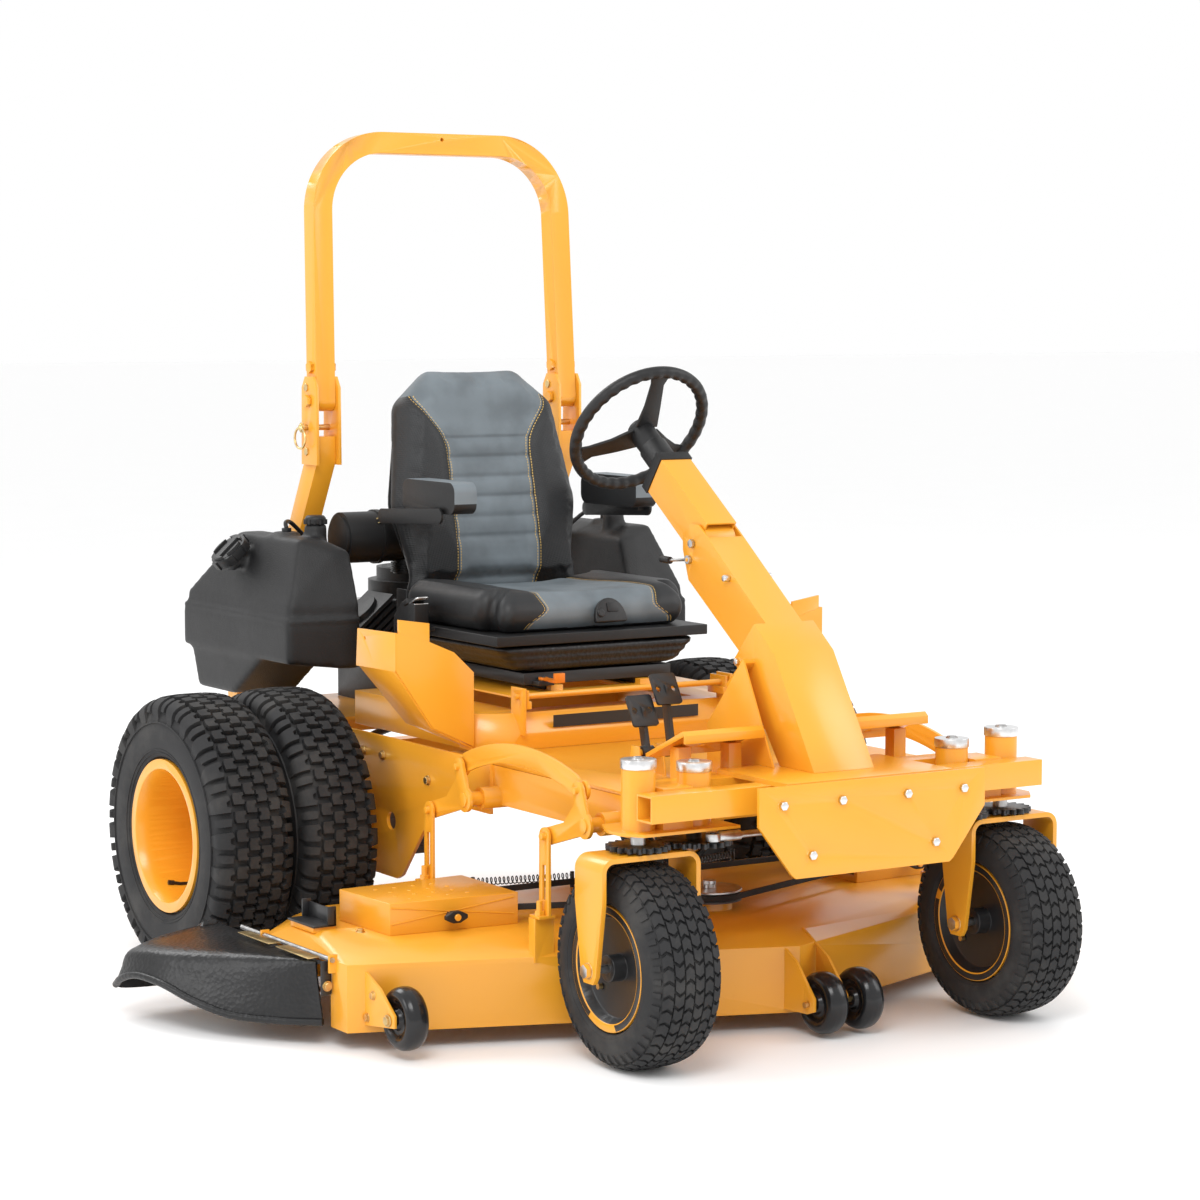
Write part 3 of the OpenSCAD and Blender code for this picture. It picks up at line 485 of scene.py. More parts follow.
def turned(profile, steps=64):
    """A closed profile of (place along the axis, radius) in millimetres spun about X."""
    bm = bmesh.new()
    verts = [bm.verts.new((x / 1000, 0, r / 1000)) for x, r in profile]
    edges = [bm.edges.new((a, b)) for a, b in zip(verts, verts[1:] + verts[:1])]
    bmesh.ops.spin(
        bm,
        geom=verts + edges,
        cent=(0, 0, 0),
        axis=(1, 0, 0),
        angle=2 * pi,
        steps=steps,
        use_merge=True,
    )
    bmesh.ops.remove_doubles(bm, verts=bm.verts, dist=1e-6)
    bmesh.ops.recalc_face_normals(bm, faces=bm.faces)
    return bm


def rounded(points, radius, segments=3):
    """Rounds the corners of a closed list of 2D points."""
    out = []
    for before, here, after in zip(points[-1:] + points[:-1], points, points[1:] + points[:1]):
        here, a, b = Vector(here), Vector(before), Vector(after)
        reach = min(radius, (a - here).length * 0.45, (b - here).length * 0.45)
        p, q = here + (a - here).normalized() * reach, here + (b - here).normalized() * reach
        for k in range(segments + 1):
            t = k / segments
            out.append(tuple(p * (1 - t) ** 2 + here * 2 * t * (1 - t) + q * t * t))
    return out


def block(low, high, round_by=0.0):
    """A box between two corners in millimetres about the axle's middle, with rounded edges."""
    a, b = at(*low), at(*high)
    bm = bmesh.new()
    place = Matrix.Translation((a + b) / 2) @ Matrix.Diagonal((*(b - a), 1))
    bmesh.ops.create_cube(bm, size=1, matrix=place)
    if round_by:
        bevelled(bm, list(bm.edges), round_by)
    return bm


def slab(outline, thick, round_by=0.0, segments=2):
    """A plate in the XY plane with the given outline in millimetres, from z = 0 up."""
    bm = bmesh.new()
    face = bm.faces.new([bm.verts.new((x / 1000, y / 1000, 0)) for x, y in outline])
    made = bmesh.ops.extrude_face_region(bm, geom=[face])
    top = [v for v in made["geom"] if isinstance(v, bmesh.types.BMVert)]
    bmesh.ops.translate(bm, vec=(0, 0, thick / 1000), verts=top)
    bmesh.ops.recalc_face_normals(bm, faces=bm.faces)
    if round_by:
        bevelled(bm, sharp_edges(bm), round_by, segments)
    return bm


def facing(direction):
    """The turn that takes +Z to a direction, with X level."""
    z = Vector(direction).normalized()
    x = Vector((0, 0, 1)).cross(z)
    x = x.normalized() if x.length > 1e-6 else Vector((1, 0, 0))
    y = z.cross(x)
    return Matrix((x, y, z)).transposed().to_4x4()


def bolt(place, direction, across=13, thick=5):
    """A hex head with rounded edges on its washer."""
    bm = bmesh.new()
    radius = across / 2000 / cos(pi / 6)
    bmesh.ops.create_cone(
        bm, cap_ends=True, segments=6, radius1=radius, radius2=radius, depth=thick / 1000,
        matrix=Matrix.Translation((0, 0, thick / 2000 + 0.0012)),
    )
    bevelled(bm, sharp_edges(bm), 0.6, 1)
    bmesh.ops.create_cone(
        bm, cap_ends=True, segments=24, radius1=radius * 1.25, radius2=radius * 1.2,
        depth=0.0024, matrix=Matrix.Translation((0, 0, 0.0008)),
    )
    turn = Matrix.Translation(at(*place)) @ facing(direction)
    bmesh.ops.transform(bm, matrix=turn, verts=bm.verts)
    return bm


def bolts(name, body, places, slot="steel", across=13, thick=5):
    """One piece of several like bolts; places is pairs of a point and a direction."""
    bm = bmesh.new()
    for place, direction in places:
        join(bm, bolt(place, direction, across, thick))
    return piece(name, bm, body, slot, smooth=30)


def swept(path, diameter, sides=12):
    """A round bar or hose with flat ends along points in millimetres, as one bmesh."""
    points = [at(*p) for p in path]
    bm = bmesh.new()
    rings = []
    for i, point in enumerate(points):
        ahead = points[min(i + 1, len(points) - 1)] - points[max(i - 1, 0)]
        if i == 0:
            side = Vector((0, 0, 1)).cross(ahead)
            side = side.normalized() if side.length > 1e-6 else Vector((1, 0, 0))
        side = (side - side.project(ahead)).normalized()
        up = ahead.normalized().cross(side)
        ring = bmesh.ops.create_circle(bm, segments=sides, radius=diameter / 2000)["verts"]
        turn = Matrix((side, up, ahead.normalized())).transposed().to_4x4()
        bmesh.ops.transform(bm, matrix=Matrix.Translation(point) @ turn, verts=ring)
        rings.append({e for v in ring for e in v.link_edges})
    for a, b in zip(rings, rings[1:]):
        bmesh.ops.bridge_loops(bm, edges=list(a | b))
    bmesh.ops.holes_fill(bm, edges=bm.edges, sides=sides + 1)
    bmesh.ops.recalc_face_normals(bm, faces=bm.faces)
    return bm


def curve_points(points, each=8):
    """A smooth line through points, as a longer list of points."""
    points = [Vector(p) for p in points]
    padded_points = [2 * points[0] - points[1], *points, 2 * points[-1] - points[-2]]
    out = []
    for a, b, c, d in zip(padded_points, padded_points[1:], padded_points[2:], padded_points[3:]):
        for k in range(each):
            t = k / each
            out.append(
                0.5 * ((2 * b) + (c - a) * t + (2 * a - 5 * b + 4 * c - d) * t * t
                       + (3 * b - a - 3 * c + d) * t ** 3)
            )
    return out + [points[-1]]


def soft_copy(name, node, voxel, smooth_steps, shrink=1.0):
    """A CAD node remeshed in small squares and smoothed, for moulded and padded shapes."""
    made = as_object(name, merged(node))
    if shrink != 1.0:
        low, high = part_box(node)
        middle = (low + high) / 2
        made.data.transform(
            Matrix.Translation(middle) @ Matrix.Scale(shrink, 4) @ Matrix.Translation(-middle)
        )
    remesh = made.modifiers.new("remesh", "REMESH")
    remesh.mode, remesh.voxel_size = "VOXEL", voxel / 1000
    apply_modifiers(made)
    bm = bmesh.new()
    bm.from_mesh(made.data)
    for _ in range(smooth_steps):
        bmesh.ops.smooth_vert(
            bm, verts=bm.verts, factor=0.5, use_axis_x=True, use_axis_y=True, use_axis_z=True
        )
    bm.to_mesh(made.data)
    bm.free()
    return made


def apply_modifiers(made):
    """Puts a piece's modifiers into its mesh."""
    graph = bpy.context.evaluated_depsgraph_get()
    graph.update()
    mesh = bpy.data.meshes.new_from_object(made.evaluated_get(graph))
    old = made.data
    made.modifiers.clear()
    made.data = mesh
    bpy.data.meshes.remove(old)


def plumped(made, pressure, cap, frames=20):
    """Fills a padded shape with air as cloth, and caps how far any point moves."""
    rest = [v.co.copy() for v in made.data.vertices]
    cloth = made.modifiers.new("cloth", "CLOTH")
    cloth.settings.quality = 5
    cloth.settings.mass = 0.3
    cloth.settings.tension_stiffness = 14
    cloth.settings.compression_stiffness = 14
    cloth.settings.bending_stiffness = 0.6
    cloth.settings.use_pressure = True
    cloth.settings.uniform_pressure_force = pressure
    cloth.settings.effector_weights.gravity = 0
    cloth.point_cache.frame_end = frames
    for number in range(1, frames + 1):
        bpy.context.scene.frame_set(number)
    apply_modifiers(made)
    bpy.context.scene.frame_set(1)
    for vertex, start in zip(made.data.vertices, rest):
        move = vertex.co - start
        if move.length > cap:
            vertex.co = start + move * (cap / move.length)
    return made


def kept_inside(vert, low, high):
    """Holds a vertex inside the box of the node that it stands for."""
    vert.co = [min(max(value, least), most) for value, least, most in zip(vert.co, low, high)]


def subdivided(made):
    """One smooth subdivision, put into the mesh."""
    smooth = made.modifiers.new("smooth", "SUBSURF")
    smooth.levels = smooth.render_levels = 1
    apply_modifiers(made)


def lay_attributes(made, values):
    """Writes float attributes from a function of a point in millimetres about the axle."""
    table = [values(local(v.co)) for v in made.data.vertices]
    for name in table[0]:
        layer = made.data.attributes.new(name, "FLOAT", "POINT")
        layer.data.foreach_set("value", [row[name] for row in table])


# ---- sizes and colours that a user would change ----


class MowerLook(bpy.types.PropertyGroup):
    """Colour and pressed edges of the painted metal."""

    paint: FloatVectorProperty(
        name="Paint", description="Colour of the painted metal", subtype="COLOR",
        default=(0.82, 0.36, 0.022), min=0, max=1,
    )
    edge: FloatProperty(
        name="Pressed edge", description="Radius of the edges of bent sheet", default=0.0016,
        unit="LENGTH", min=0.0002, max=0.004,
    )


class MowerTyres(bpy.types.PropertyGroup):
    """Tread of the rear and front tyres."""

    rear_lugs: IntProperty(
        name="Rear lugs", description="Lugs round a rear tyre", default=24, min=16, max=40
    )
    front_bars: IntProperty(
        name="Front bars", description="Tread bars round a front tyre", default=44, min=24, max=60
    )
    rear_depth: FloatProperty(
        name="Rear tread", description="Height of a rear lug", default=0.014, unit="LENGTH",
        min=0.004, max=0.02,
    )
    front_depth: FloatProperty(
        name="Front tread", description="Height of a front block", default=0.006, unit="LENGTH",
        min=0.002, max=0.01,
    )


class MowerSeat(bpy.types.PropertyGroup):
    """Mesh and padding of the cushion and the back."""

    voxel: FloatProperty(
        name="Cushion mesh", description="Size of the cushion's squares", default=0.0065,
        unit="LENGTH", min=0.004, max=0.02,
    )
    fill: FloatProperty(
        name="Pressure", description="Air pressure in the padding", default=4.0, min=0, max=12
    )


class MowerStage(bpy.types.PropertyGroup):
    """Camera and lights."""

    lens: FloatProperty(
        name="Lens", description="Focal length of the camera", default=97.19, min=20, max=300
    )
    light: FloatProperty(
        name="Light", description="Strength of the main light", default=210.0, min=0, max=3000
    )


# ---- the wheels ----

# A tread block's top is smaller than its foot by these parts of its size.
TAPER_ROUND, TAPER_ACROSS = 0.09, 0.05
# A lug loses this part of its height between two ways along the tyre's outline.
SHOULDER_LOSS, SHOULDER_START, SHOULDER_END = 0.86, 78, 108
# Radius at which a tread block's length round the tyre is true.
REAR_TREAD_RADIUS, FRONT_TREAD_RADIUS = 300, 196


def outline_table(points):
    """A smooth half outline of a tyre as (way along it, side, radius) rows."""
    line = curve_points([(x, r, 0) for x, r in points], 6)
    rows, way = [], 0.0
    for before, here in zip([line[0]] + line, line):
        way += (here - before).length
        rows.append((way, here.x, here.y))
    return rows


def on_outline(rows, way):
    """Side, radius and outward direction at a way along the outline, on either side."""
    side = -1 if way < 0 else 1
    way = min(abs(way), rows[-1][0] - 0.01)
    for low, high in zip(rows, rows[1:]):
        if low[0] <= way <= high[0] and high[0] > low[0]:
            t = (way - low[0]) / (high[0] - low[0])
            along = Vector((high[1] - low[1], high[2] - low[2])).normalized()
            return (
                side * (low[1] + t * (high[1] - low[1])),
                low[2] + t * (high[2] - low[2]),
                side * -along.y,
                along.x,
            )
    return side * rows[-1][1], rows[-1][2], side, 0.0


def tread_block(bm, rows, radius, outline, start, depth, cuts, sink=1.5):
    """A tread block: a flat outline of (round, across) laid on the tyre's outline."""
    made = bmesh.new()
    made.faces.new([made.verts.new((a, s, 0)) for a, s in outline])
    for cut in cuts:
        bmesh.ops.bisect_plane(
            made, geom=list(made.verts) + list(made.edges) + list(made.faces),
            plane_co=(0, cut, 0), plane_no=(0, 1, 0), dist=0.01,
        )
    raised = bmesh.ops.extrude_face_region(made, geom=list(made.faces))["geom"]
    top = [v for v in raised if isinstance(v, bmesh.types.BMVert)]
    middle = sum((v.co for v in top), Vector()) / len(top)
    for vert in top:
        vert.co.z = depth
        vert.co.x += (middle.x - vert.co.x) * TAPER_ROUND
        vert.co.y += (middle.y - vert.co.y) * TAPER_ACROSS
    bmesh.ops.recalc_face_normals(made, faces=made.faces)
    for vert in made.verts:
        side, r, side_out, r_out = on_outline(rows, vert.co.y)
        loss = SHOULDER_LOSS * ease(abs(vert.co.y), SHOULDER_START, SHOULDER_END)
        lift = vert.co.z * (1 - loss) if vert.co.z > 0 else -sink
        angle = start + vert.co.x / radius
        side, r = side + side_out * lift, r + r_out * lift
        vert.co = Vector((side, r * sin(angle), r * cos(angle))) / 1000
    bmesh.ops.recalc_face_normals(made, faces=made.faces)
    join(bm, made)


def carcass(half, inner, steps):
    """A plain tyre spun from half its outline, and the rows that its tread is laid on."""
    rows = outline_table(half)
    side = [(x, r) for _, x, r in rows[::2]] + inner
    ring = side + [(-x, r) for x, r in reversed(side)][:-1]
    profile = [p for i, p in enumerate(ring) if i == 0 or p != ring[i - 1]]
    return turned(profile, steps), rows


def side_ribs(bm, ribs, proud, foot, crest, steps):
    """Rings on both side walls at pairs of a radius and a side, proud of it and narrower there."""
    for radius, side in ribs:
        for s in (-1, 1):
            rib = [(s * (side - 2), radius - foot), (s * (side + proud), radius - crest),
                   (s * (side + proud), radius + crest), (s * (side - 2), radius + foot)]
            join(bm, turned(rib, steps))


def rear_tyre(count, depth):
    """One rear tyre about X at the origin."""
    half = [(0, 291.4), (30, 291), (54, 288.6), (70, 282), (80, 269), (86, 251), (89.6, 230),
            (89.6, 208), (87, 190), (82, 178), (79.5, 172.5)]
    inner = [(72.5, 169.5), (72.5, 153), (60, 160), (64, 200), (60, 262), (40, 278)]
    bm, rows = carcass(half, inner, 108)
    square = [(-14, -11.5), (-5, -12.5), (-3, -7.5), (5, -7.5), (7, -12.5), (14, -11.5),
              (13, 10.5), (3, 12.5), (-13, 11.5)]
    shoulder = [(-20, 57), (-10, 54), (-6, 62), (5, 62), (10, 54), (20, 57), (19, 82), (14, 112),
                (-14, 112), (-19, 82)]
    short = [(-9, 58), (8, 56), (10, 76), (8, 90), (-8, 90), (-10, 76)]
    cuts = (66, 74, 82, 90, 98, 105)
    pitch = 2 * pi / count
    for k in range(count):
        turn = k * pitch
        for side in (1, -1):
            lead = 0.0 if side == 1 else pitch * 0.27
            for place, shift in ((13.5, 0.0), (13.5, 0.5), (39.5, 0.25), (39.5, 0.75)):
                tilt = 1 if shift < 0.5 else -1
                flat = [(a * tilt + 2 * side, s * side + place * side) for a, s in square]
                tread_block(bm, rows, REAR_TREAD_RADIUS, flat, turn + lead + pitch * shift, depth, ())
            for shape, shift, tall in ((shoulder, 0.1, 1.0), (short, 0.6, 0.93)):
                flat = [(a, s * side) for a, s in shape]
                tread_block(bm, rows, REAR_TREAD_RADIUS, flat, turn + lead + pitch * shift,
                            depth * tall, [side * c for c in cuts])
    side_ribs(bm, ((247, 89.5), (188, 86.6), (181, 83.6)), 1.3, 2, 1.2, 108)
    return bm


def front_tyre(count, depth):
    """One front tyre about X at the origin, with zigzag bars."""
    half = [(0, 192.3), (26, 191.8), (48, 188.6), (62, 182), (71, 170), (76, 155), (78.6, 141),
            (76, 131), (70.6, 126), (67, 124.4)]
    inner = [(60.5, 123), (60.5, 112.4), (50, 118), (52, 150), (44, 172), (24, 180)]
    bm, rows = carcass(half, inner, 96)
    pitch = 2 * pi / count
    thick = FRONT_TREAD_RADIUS * pitch * 0.40
    lug = [(-6, 66.5), (6, 66.5), (5, 84), (-5, 84)]
    for k in range(count):
        for column in range(-3, 3):
            low, high = column * 21.5 + 1.1, column * 21.5 + 20.4
            lead = 0.5 * (column % 2)
            vee = 7.5 if column % 2 else -7.5
            middle = (low + high) / 2
            shape = [(-thick, low), (-thick + vee, middle), (-thick, high), (thick, high),
                     (thick + vee, middle), (thick, low)]
            tread_block(bm, rows, FRONT_TREAD_RADIUS, shape, (k + lead) * pitch, depth, (), 1.2)
        for side in (-1, 1):
            tread_block(bm, rows, FRONT_TREAD_RADIUS, [(a, s * side) for a, s in lug],
                        (k + 0.2) * pitch, depth * 0.7, [side * 75], 1.2)
    side_ribs(bm, ((150, 75.6), (133, 76)), 1.2, 1.6, 1, 96)
    return bm


def place_copies(make, centres):
    """One bmesh of the same shape at several centres; the shape is made once."""
    one = make()
    scratch = bpy.data.meshes.new("scratch")
    one.to_mesh(scratch)
    one.free()
    bm = bmesh.new()
    for centre in centres:
        before = len(bm.verts)
        bm.from_mesh(scratch)
        bm.verts.ensure_lookup_table()
        bmesh.ops.translate(bm, vec=centre, verts=bm.verts[before:])
    bpy.data.meshes.remove(scratch)
    return bm


class MOWER_OT_tyres(bpy.types.Operator):
    """Four rear tyres with lugs and two front tyres with zigzag bars."""

    bl_idname = "mower.tyres"
    bl_label = "Tyres"

    def execute(self, context):
        sizes = context.scene.mower_tyres
        half_width = 0.093
        # the tops stand a little lower than the sizes say, which keeps them inside the CAD tyres
        rear_depth = sizes.rear_depth * 1000 - 0.6
        front_depth = sizes.front_depth * 1000 - 0.3
        for side in ("right", "left"):
            node = "rear_tyres_" + side
            low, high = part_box(node)
            axle = pivot("rear_wheel_right")
            centres = [Vector((x, axle.y, axle.z)) for x in (low.x + half_width, high.x - half_width)]
            bm = place_copies(lambda: rear_tyre(sizes.rear_lugs, rear_depth), centres)
            piece(f"rear_tyre_pair_{side}", bm, body_of(node), "tyre", [node], smooth=40)
            node = "front_tyre_" + side
            centre = pivot("front_wheel_" + side)
            low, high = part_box(node)
            centre = Vector(((low.x + high.x) / 2, centre.y, centre.z))
            bm = place_copies(lambda: front_tyre(sizes.front_bars, front_depth), [centre])
            piece(f"front_tyre_tread_{side}", bm, body_of(node), "tyre", [node], smooth=40)
        return {"FINISHED"}


def near_axis(y, z, radius):
    """A test for a place within a radius of a line along X."""
    return lambda p: math.hypot(p.y - y, p.z - z) < radius


class MOWER_OT_rims(bpy.types.Operator):
    """Dished rear rims with their lug bolts, and front rims with a black centre."""

    bl_idname = "mower.rims"
    bl_label = "Rims"

    def execute(self, context):
        for side, s in (("right", -1), ("left", 1)):
            rear = "rear_rims_" + side
            softened(rear, 2.2, 3, name=f"rear_rim_pair_{side}", angle=24)
            body = body_of(rear)
            places = []
            for k in range(5):
                a = k * 2 * pi / 5 + 0.3
                places.append(((s * 722.5, 88 * sin(a), REAR_AXLE_Z + 88 * cos(a)), (s, 0, 0)))
            bolts(f"lug_bolts_{side}", body, places, "gold_zinc", 21, 9)
            hub = turned(rounded([(0, 0.2), (26, 0.2), (26, 30), (20, 36), (4, 37), (4, 56), (0, 60)],
                                 3), 40)
            turn = Matrix.Translation(at(s * 716, 0, REAR_AXLE_Z)) @ Matrix.Diagonal((s, 1, 1, 1))
            bmesh.ops.transform(hub, matrix=turn, verts=hub.verts)
            bmesh.ops.recalc_face_normals(hub, faces=hub.faces)
            piece(f"rear_hub_{side}", hub, body, "yellow_paint")
            stem = swept([(s * 765, 60, 183), (s * 785, 61, 184), (s * 800, 64, 187)], 8)
            join(stem, swept([(s * 799, 64, 187), (s * 812, 66, 189)], 11, 10))
            piece(f"rear_valve_{side}", stem, body, "black_rubber")
            front = "front_rim_" + side
            dark = ("black_paint", near_axis(*FRONT_AXLE, 104.5))
            softened(front, 1.8, 3, [dark], f"front_rim_dish_{side}", 24)
            body = body_of(front)
            stem = bmesh.new()
            y, z = FRONT_AXLE[0] + 52, FRONT_AXLE[1] - 45
            for face in (-1, 1):
                x = s * FRONT_TRACK + face * 49
                join(stem, swept([(x, y, z), (x + face * 9, y, z)], 12))
            piece(f"front_valve_{side}", stem, body, "gold_zinc")
        return {"FINISHED"}


# ---- painted frame ----


class MOWER_OT_frame_metal(bpy.types.Operator):
    """Painted frame, floor, seat box, fenders and roll bar with pressed edges."""

    bl_idname = "mower.frame_metal"
    bl_label = "Painted frame"

    def execute(self, context):
        edge = context.scene.mower_look.edge * 1000
        for node in ("main_frame", "floor_pan", "front_plate", "column_base", "seat_platform",
                     "seat_box", "fender_panels"):
            softened(node, edge)
        band = block((-186, -530.9, 556), (186, -529.6, 582))
        piece("seat_box_band", band, "chassis", "black_paint")
        softened("front_beam", edge * 1.5, 3)
        softened("rops_legs", 5, 3)
        softened("rops_hoop", 6, 4)
        tops = ((FRONT_TRACK, 596.2), (315, 582.2))
        caps = [((s * x, FRONT_AXLE[0], z), (0, 0, 1)) for s in (-1, 1) for x, z in tops]
        bolts("spindle_cap_plugs", "chassis", caps, "steel", 17, 3)
        return {"FINISHED"}


class MOWER_OT_column(bpy.types.Operator):
    """Tilting column, its collar and hub, the lever and the steering wheel."""

    bl_idname = "mower.column"
    bl_label = "Steering"

    def execute(self, context):
        top = pivot("steering")
        axis = Vector(JOINTS["steering"]["axis"]).normalized()

        def up_the_column(p):
            return (at(p.x, p.y, p.z) - top).dot(axis) * 1000

        black = ("black_plastic", lambda p: up_the_column(p) > -22.5)
        pin = ("steel", lambda p: abs(p.x) > 37.6 and up_the_column(p) < -60)
        softened("column_tube", 2.4, 3, [black, pin])
        softened("tilt_lever", 1.0, 2, [("black_plastic", lambda p: p.y > -773)], slot="steel")
        end = turned(rounded([(-36, 0.2), (-36, 42), (36, 42), (36, 0.2)], 2), 64)
        bmesh.ops.transform(end, matrix=Matrix.Translation(pivot("column_tilt")), verts=end.verts)
        piece("column_rounded_end", end, "column", "yellow_paint")
        bm = self.grip_ring(0.150, 0.0134, 36)
        # spokes: flat arms with a waist, which dip towards the hub
        for angle in (90, 210, 330):
            arm = slab([(20, -27), (70, -20), (118, -16), (138, -22), (147, -27), (147, 27),
                        (138, 22), (118, 16), (70, 20), (20, 27)], 7, 2.2)
            for vert in arm.verts:
                vert.co.z += -0.022 + 0.020 * ease(vert.co.x, 0.03, 0.135)
            join(bm, arm, Matrix.Rotation(radians(angle), 4, "Z"))
        hub = turned(rounded([(-66, 12.1), (-66, 27), (-6, 29), (2, 27), (6, 14), (6, 0.2), (-10, 0.2),
                              (-10, 12.1)], 3), 48)
        join(bm, hub, Matrix.Rotation(-pi / 2, 4, "Y"))
        shaft = turned([(-106, 0.2), (-106, 11.9), (-60, 11.9), (-60, 0.2)], 32)
        join(bm, shaft, Matrix.Rotation(-pi / 2, 4, "Y"))
        badge = turned(rounded([(4, 0.2), (9, 0.2), (8.4, 16), (6, 19), (4, 19)], 1.5), 48)
        join(bm, badge, Matrix.Rotation(-pi / 2, 4, "Y"))
        bmesh.ops.recalc_face_normals(bm, faces=bm.faces)
        centre = top + axis * 0.128
        bmesh.ops.transform(bm, matrix=Matrix.Translation(centre) @ facing(axis), verts=bm.verts)
        piece("steering_wheel_grip", bm, "wheel", "black_plastic", ["steering_wheel"], smooth=50)
        return {"FINISHED"}

    @staticmethod
    def grip_ring(radius, thick, grips):
        """The wheel's rim about Z, with finger grips on its inner and lower side."""
        bm = bmesh.new()
        ring = bmesh.ops.create_circle(bm, segments=20, radius=thick)["verts"]
        stand = Matrix.Translation((radius, 0, 0)) @ Matrix.Rotation(pi / 2, 4, "X")
        bmesh.ops.transform(bm, matrix=stand, verts=ring)
        bmesh.ops.spin(
            bm, geom=list(ring) + list(bm.edges), cent=(0, 0, 0), axis=(0, 0, 1), angle=2 * pi,
            steps=grips * 7, use_merge=True,
        )
        bmesh.ops.remove_doubles(bm, verts=bm.verts, dist=1e-6)
        for vert in bm.verts:
            a = math.atan2(vert.co.y, vert.co.x)
            core = Vector((cos(a), sin(a), 0)) * radius
            off = vert.co - core
            under = (max(0, -off.z) + max(0, radius - Vector(vert.co.xy).length)) / thick
            wave = 0.5 + 0.5 * cos(a * grips)
            vert.co = core + off * (1 - 0.15 * wave * min(under, 1))
        return bm


class MOWER_OT_steering_gear(bpy.types.Operator):
    """Forks over the front wheels, toothed plates, pitman arm and cross rod."""

    bl_idname = "mower.steering_gear"
    bl_label = "Forks and gears"

    def execute(self, context):
        for side, s in (("right", -1), ("left", 1)):
            dark = ("black_paint", lambda p: 421 < p.z < 433)
            axle = near_axis(*FRONT_AXLE, 9.5)
            bright = ("steel", lambda p, axle=axle: p.z > 433 or axle(p))
            softened("fork_" + side, 2.6, 3, [dark, bright], f"fork_{side}_plate")
            softened("drive_gear_" + side, 0.9, 1, slot="black_paint")
            nut = bmesh.new()
            for face in (-1, 1):
                join(nut, bolt((s * FRONT_TRACK + face * 112, *FRONT_AXLE), (face, 0, 0), 23, 9))
            piece(f"axle_nuts_{side}", nut, "caster_" + side, "gold_zinc", smooth=30)
        softened("pitman_arm", 1.0, 2, slot="black_paint")
        softened("tie_rods", 1.0, 2, slot="steel")
        return {"FINISHED"}


# ---- tanks, engine and drives ----


class MOWER_OT_tanks(bpy.types.Operator):
    """Blow-moulded tanks with a parting line, and their lobed caps."""

    bl_idname = "mower.tanks"
    bl_label = "Fuel tanks"

    def execute(self, context):
        made = soft_copy("tank_shells", "fuel_tanks", 6.5, 5)
        for vert in made.data.vertices:
            p = local(vert.co)
            rib = math.exp(-(((p.z - 752) / 5) ** 2))
            swell = 0.0026 * rib - 0.0012 * math.exp(-(((p.z - 741) / 4) ** 2))
            centre_x = math.copysign(450, p.x)
            out = Vector((p.x - centre_x, (p.y - 290) * 0.5, 0)).normalized()
            vert.co += out * swell
        finish_piece(made, "chassis", "tank_plastic", ["fuel_tanks"])
        for side in ("right", "left"):
            softened("fuel_cap_" + side, 2.5, 3, slot="black_plastic", angle=30)
        bm = bmesh.new()
        for s in (-1, 1):
            cap = turned(rounded([(0, 0.2), (0, 24), (14, 24), (20, 19), (20, 0.2)], 3), 36)
            turn = Matrix.Translation(at(s * 400, 150, 957)) @ Matrix.Rotation(-pi / 2, 4, "Y")
            join(bm, cap, turn)
            for k in range(12):
                a = k * pi / 6
                rib = swept([(s * 400 + 24 * cos(a), 150 + 24 * sin(a), 957),
                             (s * 400 + 24 * cos(a), 150 + 24 * sin(a), 968)], 6, 6)
                join(bm, rib)
        piece("vent_caps", bm, "chassis", "black_plastic")
        bm = bmesh.new()
        for s in (-1, 1):
            join(bm, swept([(s * 430, 235, 935), (s * 430, 235, 944)], 22, 16))
            line = curve_points([(s * 430, 235, 942), (s * 424, 250, 956), (s * 396, 272, 950),
                                 (s * 340, 290, 900), (s * 290, 310, 840)], 5)
            join(bm, swept(line, 10, 10))
        piece("fuel_lines", bm, "chassis", "black_rubber")
        return {"FINISHED"}


